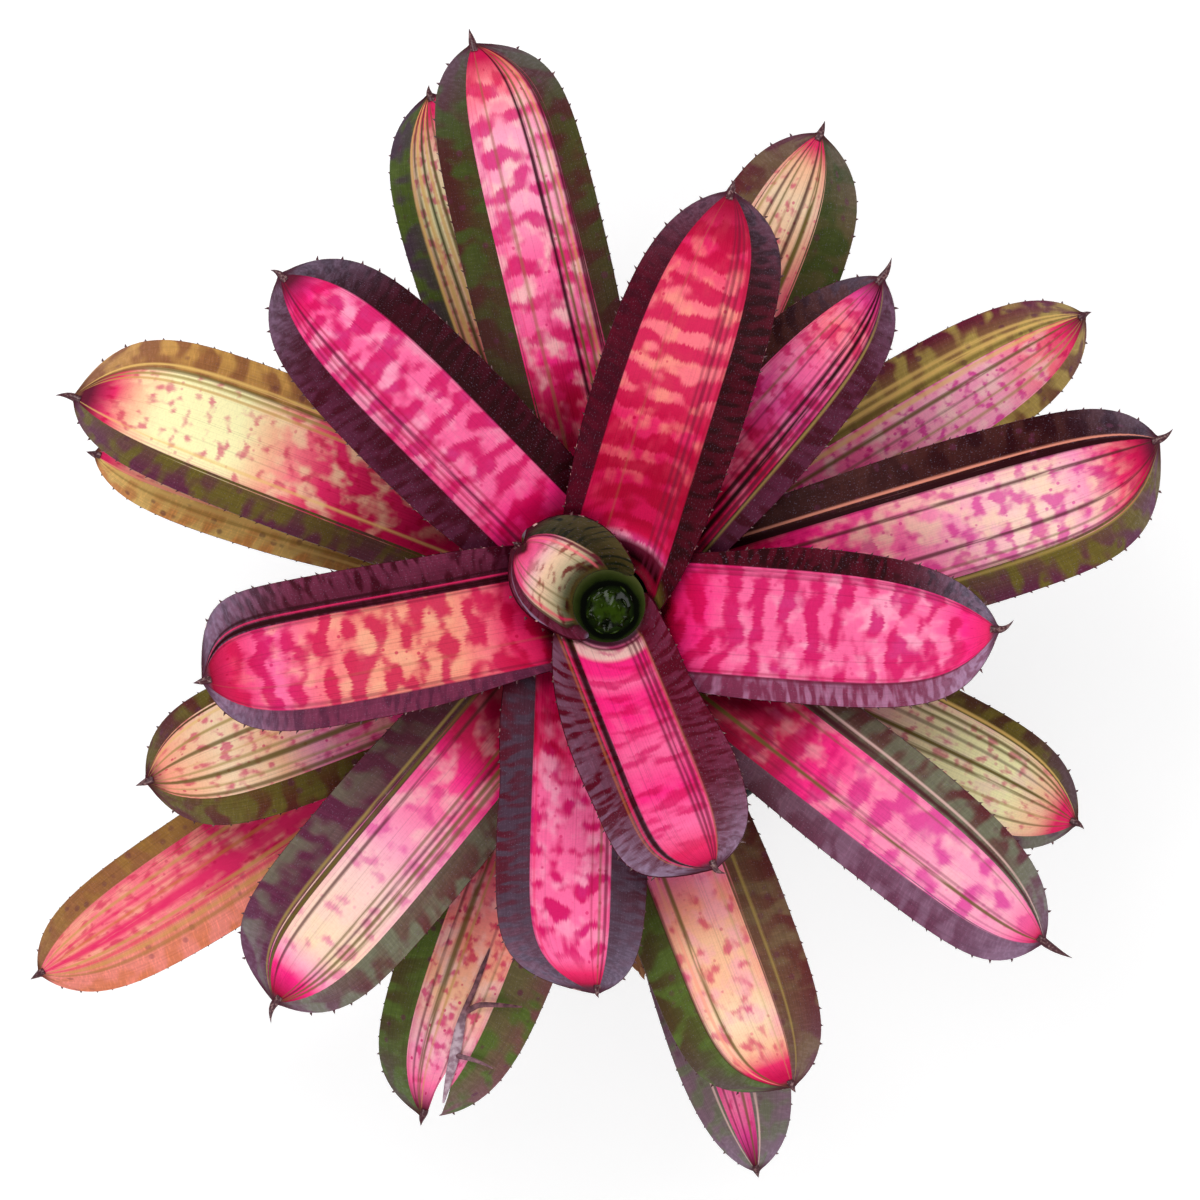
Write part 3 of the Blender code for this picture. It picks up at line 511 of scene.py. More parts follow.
class Blade:
    """One leaf laid on its shell: a sheath that wraps the stem and a strap that runs out to the tip."""

    def __init__(self, number, leaf):
        self.number = number
        self.leaf = leaf
        self.shell = Shell(number - 1, leaf.reach)
        self.age = (number - 1) / (LEAF_COUNT - 1)
        self.outward = heading(leaf.direction)
        self.leftward = Vector((-self.outward.y, self.outward.x))
        sideways = (leaf.left - leaf.right) / 2.0
        foot_turn = math.degrees(math.atan2(sideways, (STRAP_START_RADIUS + STRAP_END_RADIUS) / 2.0))
        self.foot_direction = leaf.direction + foot_turn

    def rows(self):
        """Lengths along the leaf where the mesh has a row of points."""
        shell = self.shell
        rows = list(np.arange(0.0, shell.waist_length - SHEATH_ROW_PITCH / 2.0, SHEATH_ROW_PITCH))
        tip_rows = [shell.leaf_length - step for step in TIP_ROWS]
        count = max(round((tip_rows[0] - shell.waist_length) / BLADE_ROW_PITCH), 2)
        rows += list(np.linspace(shell.waist_length, tip_rows[0], count, endpoint=False))
        return rows + tip_rows

    def half_widths(self, length):
        """Width of the leaf to the left and to the right of its middle line."""
        shell = self.shell
        radius = shell.radius_at(length)
        sheath = min(SHEATH_HALF_WIDTH, radius * math.radians(SHEATH_WRAP))
        to_blade = ease(shell.waist_length * SHEATH_END_SHARE, shell.waist_length + STRAP_START, length)
        neck_end = between((shell.waist_length, shell.leaf_length), NECK_REACH)
        neck = between((between(NECK_SHARE, self.age), 1.0), ease(shell.waist_length, neck_end, length))
        to_tip = max(shell.leaf_length - length, 0.0)
        widths = []
        leaf = self.leaf
        for width, taper in ((leaf.left, leaf.left_taper), (leaf.right, leaf.right_taper)):
            rounding = 1.0 - math.exp(-((to_tip / taper) ** TIP_BLUNTNESS))
            blade = max(width * neck * rounding, TIP_HALF_WIDTH)
            widths.append(between((sheath, blade), to_blade))
        return widths

    def split_width(self, length):
        """Half-width of the tear where there is one, and how far the columns gather around it."""
        to_tip = self.shell.leaf_length - length
        opening = 1.0 - ease(SPLIT_OPEN_LENGTH, SPLIT_LENGTH, to_tip)
        half = between((SPLIT_ROOT_HALF_WIDTH, SPLIT_HALF_OPENING), opening)
        return half, 1.0 - ease(SPLIT_LENGTH, SPLIT_LENGTH + SPLIT_FADE, to_tip)

    def offsets(self, length):
        """Distances of the mesh columns from the middle line, from the right margin to the left."""
        left, right = self.half_widths(length)
        even = [-right + (left + right) * column / COLUMNS for column in range(COLUMNS + 1)]
        if self.number != SPLIT_LEAF:
            return even
        half, gather = self.split_width(length)
        low = max(min(SPLIT_MIDDLE - half, left - SPLIT_CLEARANCE), SPLIT_CLEARANCE - right)
        high = max(min(SPLIT_MIDDLE + half, left - SPLIT_LEAST_EDGE), low + SPLIT_LEAST_OPENING)
        middle = COLUMNS // 2
        gathered = [-right + (low + right) * column / middle for column in range(middle + 1)]
        above = COLUMNS - middle - 1
        gathered += [high + (left - high) * column / above for column in range(above + 1)]
        return [between(pair, gather) for pair in zip(even, gathered)]

    def place(self, length, offset):
        """The point at a length along the leaf and a distance to the left of its middle line."""
        shell = self.shell
        radius = shell.radius_at(length)
        wrapped = heading(self.foot_direction + math.degrees(offset / radius)) * radius
        strap = self.outward * radius + self.leftward * offset
        flat = wrapped.lerp(strap, ease(STRAP_START_RADIUS, STRAP_END_RADIUS, radius))
        left, right = self.half_widths(length)
        across = (offset - (left - right) / 2.0) / ((left + right) / 2.0)
        width_share = (left + right) / (self.leaf.left + self.leaf.right)
        past_waist = length - shell.waist_length
        blade_share = ease(CHANNEL_START, CHANNEL_END, past_waist)
        wave = WAVE_HEIGHT * math.sin(math.tau * length / WAVE_LENGTH + self.number) * across
        lift = (CHANNEL_DEPTH * (across * across - CHANNEL_BALANCE) + wave) * blade_share * width_share
        return Vector((flat.x, flat.y, shell.height_at(flat.length) + lift))

    def colour_place(self, length, offset):
        """Where the colours find a point: distance from the axis, place of its vein, depth from the margin.

        Below the waist the distance goes on falling with the length, so that it never stands still."""
        shell = self.shell
        along = shell.radius_at(length) if length > shell.waist_length else (
            shell.radius_at(shell.waist_length) - (shell.waist_length - length))
        left, right = self.half_widths(length)
        depth = min(left - offset, offset + right)
        spot = self.place(length, offset)
        across = spot.x * self.leftward.x + spot.y * self.leftward.y
        offset = between((offset, across), ease(VEIN_BEND_START, VEIN_BEND_END, shell.radius_at(length)))
        taper = self.leaf.left_taper if offset > 0.0 else self.leaf.right_taper
        to_tip = max(shell.leaf_length - length, 0.0)
        gather = 1.0 - math.exp(-to_tip / (GATHER * taper))
        return Vector((along, offset / max(gather, LEAST_GATHER), depth))

    def tooth_lengths(self):
        """Lengths along the leaf of the margin teeth, evenly spaced back from the tip."""
        start = self.shell.waist_length + TOOTH_START
        end = self.shell.leaf_length - FIRST_TOOTH
        return list(np.arange(end, start, -TOOTH_PITCH))


def tube(shape, points, radii, flatness):
    """Add a closed, flattened tube along points. It narrows to almost nothing where its radius is zero."""
    faces = []
    rings = []
    for index, (point, radius) in enumerate(zip(points, radii)):
        ahead = points[min(index + 1, len(points) - 1)] - points[max(index - 1, 0)]
        ahead.normalize()
        side = ahead.cross(UP).normalized()
        turn = Matrix((side, side.cross(ahead), ahead)).transposed().to_4x4()
        place = Matrix.Translation(point) @ turn @ Matrix.Diagonal((1.0, flatness, 1.0, 1.0))
        radius = max(radius, LEAST_TUBE_RADIUS)
        ring = bmesh.ops.create_circle(shape, segments=TUBE_SIDES, radius=radius, matrix=place)["verts"]
        edges = list({edge for vertex in ring for edge in vertex.link_edges})
        if rings:
            faces += bmesh.ops.bridge_loops(shape, edges=rings[-1] + edges)["faces"]
        rings.append(edges)
    for edges in (rings[0], rings[-1]):
        faces += bmesh.ops.edgeloop_fill(shape, edges=edges)["faces"]
    bmesh.ops.recalc_face_normals(shape, faces=faces)
    return faces


def rolled_margin(blade, length, offset):
    """How far a point of the youngest leaf moves where its left margin rolls up and in."""
    depth = blade.half_widths(length)[0] - offset
    share = (1.0 - ease(0.0, ROLL_BREADTH, depth)) * ease(ROLL_START, ROLL_END, blade.shell.radius_at(length))
    inward = (blade.place(length, offset - 1.0) - blade.place(length, offset)).normalized()
    return inward * share * share * ROLL_IN + UP * share * ROLL_UP


def notched_tip(blade, length, offset):
    """How far a point of the youngest leaf moves back where its tip is notched."""
    near = 1.0 - ease(0.0, NOTCH_LENGTH, blade.shell.leaf_length - length)
    return blade.outward.to_3d() * (-NOTCH_DEPTH * near * math.exp(-((offset / NOTCH_HALF_WIDTH) ** 2)))


def leaf_sheet(blade, crumple=None):
    """The leaf as a sheet with the place of its colours on each point."""
    rows = blade.rows()
    shape = bmesh.new()
    bmesh.ops.create_grid(shape, x_segments=COLUMNS, y_segments=len(rows) - 1, size=0.5)
    places = shape.verts.layers.float_vector.new("leaf_place")
    grid = {}
    for vertex in shape.verts:
        column = round((vertex.co.x + 0.5) * COLUMNS)
        row = round((vertex.co.y + 0.5) * (len(rows) - 1))
        grid[row, column] = vertex
    offsets = [blade.offsets(length) for length in rows]
    for (row, column), vertex in grid.items():
        length = rows[row]
        offset = offsets[row][column]
        vertex.co = blade.place(length, offset)
        if blade.number == 1:
            vertex.co += rolled_margin(blade, length, offset) + notched_tip(blade, length, offset)
        vertex[places] = blade.colour_place(length, offset)
        if crumple:
            vertex.co += crumple(length, offset)
    if blade.number == SPLIT_LEAF:
        open_split(shape, blade, rows, grid)
    middle = grid[len(rows) // 2, COLUMNS // 2].link_faces[0]
    middle.normal_update()
    if middle.normal.z < 0.0:
        bmesh.ops.reverse_faces(shape, faces=shape.faces)
    return shape


def open_split(shape, blade, rows, grid):
    """Take out the faces of the column where the leaf is torn."""
    middle = COLUMNS // 2
    torn = []
    for row, length in enumerate(rows[:-1]):
        if blade.shell.leaf_length - length <= SPLIT_LENGTH:
            corners = {grid[row + down, middle + over] for down in (0, 1) for over in (0, 1)}
            torn.append(next(face for face in grid[row, middle].link_faces if set(face.verts) == corners))
            if blade.half_widths(length)[0] < SPLIT_MIDDLE + SPLIT_HALF_OPENING + SPLIT_LEAST_LOBE:
                columns = range(middle + 1, COLUMNS + 1)
                beyond = {grid[row + down, column] for down in (0, 1) for column in columns}
                torn += [face for face in shape.faces if beyond.issuperset(face.verts)]
    bmesh.ops.delete(shape, geom=list(set(torn)), context="FACES")


# Material places of a leaf.
TOP, UNDER, RIM, THORN = range(4)


def thicken(shape):
    """Give the sheet its thickness, half to each side, and tell top, underside and rim apart."""
    top = list(shape.faces)
    top_points = set(shape.verts)
    shape.normal_update()
    for vertex in shape.verts:
        vertex.co += vertex.normal * (LEAF_THICKNESS / 2.0)
    bmesh.ops.solidify(shape, geom=top, thickness=LEAF_THICKNESS)
    top = set(top)
    for face in shape.faces:
        if face in top:
            face.material_index = TOP
        elif any(vertex in top_points for vertex in face.verts):
            face.material_index = RIM
        else:
            face.material_index = UNDER


def add_thorns(shape, blade, draw):
    """The hooked teeth along both margins and the spine that ends the leaf."""
    thorns = add_spine(shape, blade)
    for length in blade.tooth_lengths():
        left, right = blade.half_widths(length)
        for edge, side in ((left, 1.0), (-right, -1.0)):
            size = draw.uniform(*TOOTH_SIZES) * between(TOOTH_GROWTH, blade.age)
            root = blade.place(length, edge - side * TOOTH_SINK)
            out = (blade.place(length, edge + side) - root).normalized()
            ahead = (blade.place(length + 1.0, edge) - blade.place(length, edge)).normalized()
            point = (out + ahead * TOOTH_LEAN) * TOOTH_HEIGHT * size
            flat = out.cross(ahead) * LEAF_THICKNESS * TOOTH_FLATNESS
            turn = Matrix((ahead * TOOTH_RADIUS, flat, point)).transposed().to_4x4()
            place = Matrix.Translation(root + point / 2.0) @ turn
            tooth = bmesh.ops.create_cone(shape, cap_ends=True, segments=TOOTH_SIDES, radius1=1.0,
                                          radius2=0.0, depth=1.0, matrix=place)["verts"]
            thorns += {face for vertex in tooth for face in vertex.link_faces}
    for face in thorns:
        face.material_index = THORN
    bmesh.ops.recalc_face_normals(shape, faces=thorns)


def add_spine(shape, blade):
    """The stiff spine at the tip, bent to the side that it leans to."""
    length = blade.shell.leaf_length
    end = blade.place(length, 0.0)
    along = (end - blade.place(length - SPINE_AIM, 0.0)).normalized()
    lean = blade.leftward.to_3d() * blade.leaf.lean
    points = []
    radii = []
    for step in range(SPINE_STEPS + 1):
        share = step / SPINE_STEPS
        walked = between((-SPINE_ROOT, blade.leaf.spine * SPINE_SHARE), share)
        bend = max(walked, 0.0) ** 2 / max(blade.leaf.spine, 1.0)
        points.append(end + along * walked + lean * bend)
        fullness = math.sin(math.pi * min(between((SPINE_ROOT_FULLNESS, 1.0), share), 1.0))
        radii.append(SPINE_RADIUS * fullness * (1.0 - share * SPINE_THINNING))
    return tube(shape, points, radii, SPINE_FLATNESS)


# Patterns of a leaf's skin, in millimetres.
STREAK_LENGTH = 83.333
STREAK_BREADTH = 1.1111
RIB_PITCH = 1.25
RIB_RELIEF = 0.25
STAINED_EDGE = 4.5
WAX_AND_SHEEN_LENGTH = 55.0

# How far a cross-band of the margins falls back for each millimetre outwards.
BAND_SLANT = 0.18

# Between these reaches a leaf's margins turn into those of an old leaf, with plum dots and, towards the axis,
# painted shade in umber where the leaves above cover them.
OLD_REACH = (190.0, 215.0)

# The bright band's edges: soft, a little ragged, and from about the seventh leaf on frayed by fine stripes.
EDGE_SOFTNESS = 0.4
EDGE_RAGGEDNESS = 1.2
EDGE_STRIPES = 9.0
STRIPED_LEAVES = (6.5, 8.5)

# Lengthwise lines are drawn by a ramp that spans this many millimetres to each side of the middle line.
LINE_SPAN = 45.0
LINE_SOFTNESS = 0.5

# The ramp of the pale lip: where it starts from the waist outwards and its whole length.
THROAT_START = -10.0
THROAT_SPAN = 30.0

# How far apart the random patterns of two leaves are.
SEED_STEP = 13.7


class Value:
    """A number or colour that varies over a surface: one socket of a shader node, with arithmetic."""

    def __init__(self, nodes, socket):
        self.nodes = nodes
        self.socket = socket

    def output(self, name):
        """Another output of the same node."""
        return Value(self.nodes, self.socket.node.outputs[name])

    def math(self, operation, *others, first=None):
        """This number put through a Math node, alone, before others or after a first one."""
        values = [self, *others] if first is None else [first, self]
        return self.nodes.node("Math", {"operation": operation}, dict(enumerate(values)))

    def __add__(self, other):
        return self.math("ADD", other)

    __radd__ = __add__

    def __mul__(self, other):
        return self.math("MULTIPLY", other)

    __rmul__ = __mul__

    def __sub__(self, other):
        return self.math("SUBTRACT", other)

    def __rsub__(self, other):
        return self.math("SUBTRACT", first=other)

    def __truediv__(self, other):
        return self.math("DIVIDE", other)

    def rise(self, start, end):
        """0 before start and 1 after end, with a smooth rise between."""
        settings = {"interpolation_type": "SMOOTHSTEP"}
        return self.nodes.node("MapRange", settings, {"Value": self, "From Min": start, "From Max": end})

    def dim(self, share):
        """This colour, darker by a share."""
        return self.nodes.node("VectorMath", {"operation": "SCALE"}, {0: self, "Scale": 1.0 - share})


class Nodes:
    """The nodes of a material or of the world."""

    def __init__(self, tree):
        self.tree = tree

    def node(self, kind, settings=None, inputs=None, output=0):
        """Add a node of a kind, with its settings and the values or links of its sockets."""
        made = self.tree.nodes.new("ShaderNode" + kind)
        for key, value in (settings or {}).items():
            if key == "stops":
                self.set_stops(made.color_ramp, value)
            else:
                setattr(made, key, value)
        for key, value in (inputs or {}).items():
            self.feed(made.inputs[key], value)
        return Value(self, made.outputs[output])

    def feed(self, socket, value):
        """Link a socket to a value, or set it to a plain number or colour."""
        if isinstance(value, Value):
            self.tree.links.new(value.socket, socket)
        else:
            socket.default_value = value

    @staticmethod
    def set_stops(ramp, stops):
        """Put a ramp's stops in place, each a position and a colour with its alpha."""
        while len(ramp.elements) < len(stops):
            ramp.elements.new(1.0)
        for element, (position, tone) in zip(ramp.elements, stops):
            element.position = position
            element.color = tone

    def vector(self, x, y, z):
        """A vector from three numbers."""
        return self.node("CombineXYZ", None, {0: x, 1: y, 2: z})

    def parts(self, vector):
        """The three numbers of a vector."""
        split = self.node("SeparateXYZ", None, {0: vector})
        return [split.output(axis) for axis in "XYZ"]


class Surface(Nodes):
    """A material and its nodes."""

    def __init__(self, name):
        self.material = bpy.data.materials.new(name)
        self.material.use_nodes = True
        super().__init__(self.material.node_tree)
        self.shader = self.tree.nodes["Principled BSDF"]

    def noise(self, vector, scale=1.0, detail=2.0, roughness=0.5):
        """Smooth random mottling between 0 and 1, mostly near the middle."""
        inputs = {"Vector": vector, "Scale": scale, "Detail": detail, "Roughness": roughness}
        return self.node("TexNoise", None, inputs)

    def mix(self, share, first, second, blend="MIX"):
        """From the first colour to the second, or to the first tinted by the second."""
        settings = {"data_type": "RGBA", "blend_type": blend}
        return self.node("Mix", settings, {0: share, 6: first, 7: second}, output=2)

    def ramp(self, value, stops):
        """A colour from a row of stops."""
        return self.node("ValToRGB", {"stops": stops}, {0: value})

    def place(self):
        """Object coordinates, in metres."""
        return self.node("TexCoord", output="Object")

    def bump(self, height, strength, distance):
        """Feed a height to the surface's normal."""
        normal = self.node("Bump", None, {"Strength": strength, "Distance": distance * MM, "Height": height})
        self.feed(self.shader.inputs["Normal"], normal)

    def finish(self, tone, roughness, **plain):
        """Set the shader's colour and roughness, and plain numbers on its other sockets."""
        self.feed(self.shader.inputs["Base Color"], tone)
        self.feed(self.shader.inputs["Roughness"], roughness)
        for name, value in plain.items():
            self.shader.inputs[name.replace("_", " ").title().replace("Ior", "IOR")].default_value = value
        return self.material


class LeafSurface(Surface):
    """A material that finds its way over a leaf, in millimetres.

    along is the distance from the axis, vein the place of a point's vein and depth its distance from the
    margin. The seed sets the random patterns apart from another leaf's."""

    def __init__(self, name, seed):
        super().__init__(name)
        spot = self.node("Attribute", {"attribute_name": "leaf_place"}, output="Vector")
        self.along, self.vein, self.depth = self.parts(spot)
        self.seed = seed

    def mottle(self, length, breadth, layer=0.0, detail=1.0, roughness=0.5, along=None):
        """Random patches of about a length along the veins and a breadth across them."""
        along = along or self.along
        spot = self.vector(along / length, self.vein / breadth, self.seed + layer)
        return self.noise(spot, detail=detail, roughness=roughness)

    def streaks(self):
        """Fine streaks that follow the veins."""
        return self.mottle(STREAK_LENGTH, STREAK_BREADTH, detail=4.0, roughness=0.7)

    def add_ribs(self, streaks, strength):
        """Raise a fine rib along each vein."""
        ribs = (self.vein * (math.tau / RIB_PITCH)).math("SINE") * 0.25
        self.bump(ribs + streaks, strength, RIB_RELIEF)


def linear(channel):
    """A colour channel from its screen value to the value of light."""
    share = channel / 255.0
    return share / 12.92 if share <= 0.04045 else ((share + 0.055) / 1.055) ** 2.4


def colour(code, alpha=1.0):
    """A colour from its hexadecimal code."""
    return (linear(code >> 16), linear(code >> 8 & 255), linear(code & 255), alpha)


def paint(name, alpha=1.0):
    """A colour of the leaves by name."""
    return colour(PALETTE[name], alpha)


def entries(row):
    """The entries of a look's row, set apart by commas: words as they are, the rest as numbers."""
    return [[word if word.isalpha() else float(word) for word in entry.split()] for entry in row.split(", ")]


def line_stops(lines):
    """Ramp stops that draw each line in its colour, clear between them."""
    stops = []
    for middle, half, name, strength in sorted(entries(lines)):
        for place, alpha in ((middle - half - LINE_SOFTNESS, 0.0), (middle - half * 0.5, strength),
                             (middle + half * 0.5, strength), (middle + half + LINE_SOFTNESS, 0.0)):
            stops.append(((place + LINE_SPAN) / (2.0 * LINE_SPAN), paint(name, alpha)))
    return stops


def dots(surface, spacing, radius, layer=0.0):
    """Round dots, one in about every other cell of a loose grid."""
    spot = surface.vector(surface.along / spacing, surface.vein / spacing, surface.seed + layer)
    near = surface.node("TexVoronoi", {"feature": "F1"}, {"Vector": spot, "Scale": 1.0}, output="Distance")
    chosen = surface.parts(near.output("Color"))[0]
    size = radius / spacing
    return (1.0 - near.rise(size * 0.5, size)) * chosen.rise(0.45, 0.55)


def pale_clouds(surface, leaf):
    """Soft clouds that fade out towards both ends of a leaf."""
    to_tip = leaf.reach - surface.along
    ends = surface.along.rise(leaf.reach * 0.22, leaf.reach * 0.5) * to_tip.rise(8.0, 34.0)
    return surface.mottle(11.0, 9.0, 9.0, detail=2.5).rise(0.45, 0.66) * ends


def cross_bars(surface, leaf, look):
    """Frayed bars across the bright band, the stain along its edges and round dots."""
    _, strength, cover, pitch, width, regularity = look.bars
    fibres = surface.mottle(50.0, 0.66667, 5.0, detail=2.0)
    frayed = surface.along + (fibres - 0.5) * pitch * 0.3
    drift = surface.mottle(20.0, 14.0, 7.0)
    wave = ((frayed + drift * 14.0) * (math.tau / pitch)).math("SINE")
    patches = surface.mottle(pitch * 0.55, width, 3.0, detail=1.5, along=frayed)
    field = patches + wave * regularity * 0.5
    bars = field.rise(0.58 - cover, 0.78 - cover) * strength * (leaf.reach - surface.along).rise(2.0, 20.0)
    right_edge, left_edge = look.band
    off_right = surface.vein.rise(right_edge, right_edge + STAINED_EDGE)
    off_left = 1.0 - surface.vein.rise(left_edge - STAINED_EDGE, left_edge)
    stain = (1.0 - off_right * off_left) * (fibres.rise(0.3, 0.7) * 0.5 + 0.1) * strength
    return bars.math("MAXIMUM", stain).math("MAXIMUM", dots(surface, 4.2, 1.0) * look.freckles)


def band_colour(surface, leaf, look, streaks):
    """The bright middle of a leaf: its tones along the leaf, pale clouds, cross-bars and fine streaks."""
    tones = [(place / leaf.reach, paint(name)) for place, name in entries(look.along)]
    band = surface.ramp(surface.along / leaf.reach, tones)
    name, strength = look.haze
    band = surface.mix(pale_clouds(surface, leaf) * strength, band, paint(name))
    band = surface.mix(cross_bars(surface, leaf, look), band, colour(STAINS[look.bars[0]]), "MULTIPLY")
    lines = surface.mottle(250.0, 0.58824, 11.0, detail=2.0)
    band = surface.mix(lines.rise(0.56, 0.72) * 0.45, band, band.dim(0.4))
    weave = surface.mottle(0.7, 2.0, 12.0)
    band = surface.mix(weave.rise(0.4, 0.7) * 0.15, band, band.dim(0.4))
    return surface.mix(streaks.rise(0.5, 0.8) * 0.25, band, band.dim(0.3))


def cross_bands(surface, look, slanted, streaks):
    """Slanting bands across the margins, gathered into zones."""
    drift = surface.mottle(18.0, 12.0, 4.0, along=slanted)
    wave = ((slanted + drift * look.bands * 1.6) * (math.tau / look.bands)).math("SINE")
    bands = surface.mottle(look.bands * 0.55, 6.0 + look.bands * 0.6, 1.0, along=slanted)
    zones = surface.mottle(20.0, 18.0, 8.0)
    return (bands + wave * 0.09 + (zones - 0.5) * 0.5 + (streaks - 0.5) * 0.05).rise(0.36, 0.6)


def margin_colour(surface, leaf, look, streaks):
    """The dark sides of a leaf: slanting cross-bands, and a fine lighter hatch and a waxy tip that are partly
    painted sheen.
    """
    along, vein = surface.along, surface.vein
    middle = sum(look.band) / 2.0
    slanted = along - (vein - middle).math("ABSOLUTE") * BAND_SLANT
    outer = 1.0 - surface.depth.rise(0.0, 14.0)
    banding = cross_bands(surface, look, slanted, streaks) * (0.5 + outer * 0.6)
    sides = [surface.mix(banding * strength, paint(main), paint(second))
             for main, second, strength in (look.right, look.left)]
    margin = surface.mix(vein.rise(middle - 1.0, middle + 1.0), *sides)
    old = ease(*OLD_REACH, leaf.reach)
    # Painted shade: old leaves' margins darken to umber towards the axis, where the leaves above cover them.
    painted_shade = (1.0 - along.rise(leaf.reach * 0.4, leaf.reach * 0.7)) * (old * 0.55)
    margin = surface.mix(painted_shade, margin, paint("umber"))
    beside_cup = (1.0 - along.rise(21.0, 27.0)) * (1.0 - vein.rise(-2.0, 2.0))
    if leaf is not YOUNGEST:
        margin = surface.mix(beside_cup, margin, paint("olive"))
    spots = dots(surface, 5.5, 1.9, 20.0)
    margin = surface.mix(spots * (look.freckles * old * 0.8), margin, paint("plum"))
    margin = surface.mix(streaks.rise(0.42, 0.66) * 0.3, margin, margin.dim(0.5))
    # A fine lighter hatch over the margins: partly their own cross-hatched texture, partly painted sheen.
    hatch = surface.mottle(0.9, 5.0, 2.0, detail=2.0, along=slanted)
    margin = surface.mix(hatch.rise(0.45, 0.75) * 0.5, margin, margin.dim(-0.5))
    scales = surface.mottle(0.6, 0.5, 13.0, detail=0.0)
    margin = surface.mix(scales.rise(0.68, 0.8) * 0.14, margin, paint("lilac"))
    # Towards the tip the margins turn lilac: partly waxy bloom, partly painted sheen.
    near_tip = 1.0 - (leaf.reach - along).rise(2.0, WAX_AND_SHEEN_LENGTH)
    wax_and_sheen = 0.2 + banding * 0.3 + hatch.rise(0.4, 0.65) * 0.4 + outer * 0.4
    return surface.mix(near_tip * near_tip * look.bloom * wax_and_sheen * 0.5, margin, paint("lilac"))


def throat_stops(look):
    """Ramp stops for the dark green sheath and the pale lip where the leaf leaves the cup."""
    name, breadth = look.throat
    places = ((-8.0, "throat", 1.0), (-1.4, "throat", 1.0), (0.2, name, 0.9),
              (0.5 + breadth * 0.8, name, 0.7), (breadth + 1.5, name, 0.0))
    return [((place - THROAT_START) / THROAT_SPAN, paint(tone, alpha)) for place, tone, alpha in places]


def leaf_top_material(number, leaf, look):
    """The upper face of a leaf: bright band with cross-bars, dark cross-banded margins and fine lines."""
    surface = LeafSurface(f"leaf_top_{number:02d}", number * SEED_STEP)
    to_tip = leaf.reach - surface.along
    streaks = surface.streaks()
    ragged = surface.vein + (streaks - 0.5) * EDGE_RAGGEDNESS
    pinstripes = surface.mottle(333.33, 1.6667, 15.0)
    striped = ragged + (pinstripes - 0.5) * (EDGE_STRIPES * ease(*STRIPED_LEAVES, number))
    band = band_colour(surface, leaf, look, streaks)
    margin = margin_colour(surface, leaf, look, streaks)
    right_edge, left_edge = look.band
    in_band = striped.rise(right_edge - EDGE_SOFTNESS, right_edge + EDGE_SOFTNESS)
    in_band = in_band * (1.0 - striped.rise(left_edge - EDGE_SOFTNESS, left_edge + EDGE_SOFTNESS))
    skin = surface.mix(in_band * to_tip.rise(1.0, 4.0), margin, band)
    lines = surface.ramp((ragged + LINE_SPAN) / (2.0 * LINE_SPAN), line_stops(look.lines))
    fading = surface.mottle(28.571, 1.6667, 6.0, detail=2.0)
    skin = surface.mix(lines.output("Alpha") * fading.rise(0.2, 0.45), skin, lines)
    waist = between(WAIST_RADIUS, (number - 1) / (LEAF_COUNT - 1))
    lip = surface.ramp((surface.along - waist - THROAT_START) / THROAT_SPAN, throat_stops(look))
    beside = (1.0 - in_band) * surface.along.rise(waist - 1.4, waist)
    skin = surface.mix(lip.output("Alpha") * (1.0 - beside), skin, lip)
    skin = surface.mix((1.0 - to_tip.rise(1.0, 5.0)) * 0.8, skin, paint("maroon"))
    surface.add_ribs(streaks, 0.35)
    gloss = YOUNGEST_GLOSS if leaf is YOUNGEST else LEAF_GLOSS
    return surface.finish(skin, 0.34 + streaks * 0.18, specular_ior_level=gloss)


def leaf_under_material():
    """The underside of a leaf: dull green and plum with silvery cross-bands."""
    surface = LeafSurface("leaf_under", 2.0)
    streaks = surface.streaks()
    skin = surface.mix(surface.along.rise(60.0, 170.0), paint("moss"), paint("plum"))
    skin = surface.mix(streaks.rise(0.4, 0.7) * 0.6, skin, paint("maroon"))
    silver = surface.mottle(6.0, 40.0, 5.0, detail=3.0)
    skin = surface.mix(silver.rise(0.5, 0.6) * 0.4, skin, paint("lilac"))
    surface.add_ribs(streaks, 0.4)
    return surface.finish(skin, 0.55 + silver * 0.1, specular_ior_level=LEAF_GLOSS)


def rim_material():
    """The thin edge of a leaf: dark, with painted pale glints."""
    surface = LeafSurface("leaf_rim", 1.0)
    painted_glints = surface.mottle(2.0, 20.0, detail=2.0)
    # The pale flecks are painted glints on the edge.
    skin = surface.mix(painted_glints.rise(0.6, 0.7) * 0.6, paint("maroon"), paint("shell"))
    return surface.finish(skin, 0.45, specular_ior_level=LEAF_GLOSS)


def thorn_material():
    """Teeth and spines: dark horn, a little paler in places."""
    surface = Surface("thorn")
    tone = surface.noise(surface.place(), scale=900.0)
    return surface.finish(surface.mix(tone.rise(0.5, 0.7) * 0.2, paint("maroon"), paint("shell")), 0.35)


def add_object(name, shape, materials=(), unit=MM):
    """Put a finished mesh, made in a unit given in metres, into the scene."""
    bmesh.ops.transform(shape, matrix=Matrix.Scale(unit, 4), verts=shape.verts)
    mesh = bpy.data.meshes.new(name)
    shape.to_mesh(mesh)
    shape.free()
    for made in materials:
        mesh.materials.append(made)
    thing = bpy.data.objects.new(name, mesh)
    bpy.context.scene.collection.objects.link(thing)
    return thing


def add_piece(name, shape, materials, node=None, sharp_degrees=50.0):
    """Put a finished mesh, made in millimetres, into the scene on the plant's one body."""
    piece = add_object(name, shape, materials)
    piece.data.shade_smooth()
    piece.data.set_sharp_from_angle(angle=math.radians(sharp_degrees))
    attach(piece, "root")
    if node:
        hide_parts(node)
    return piece


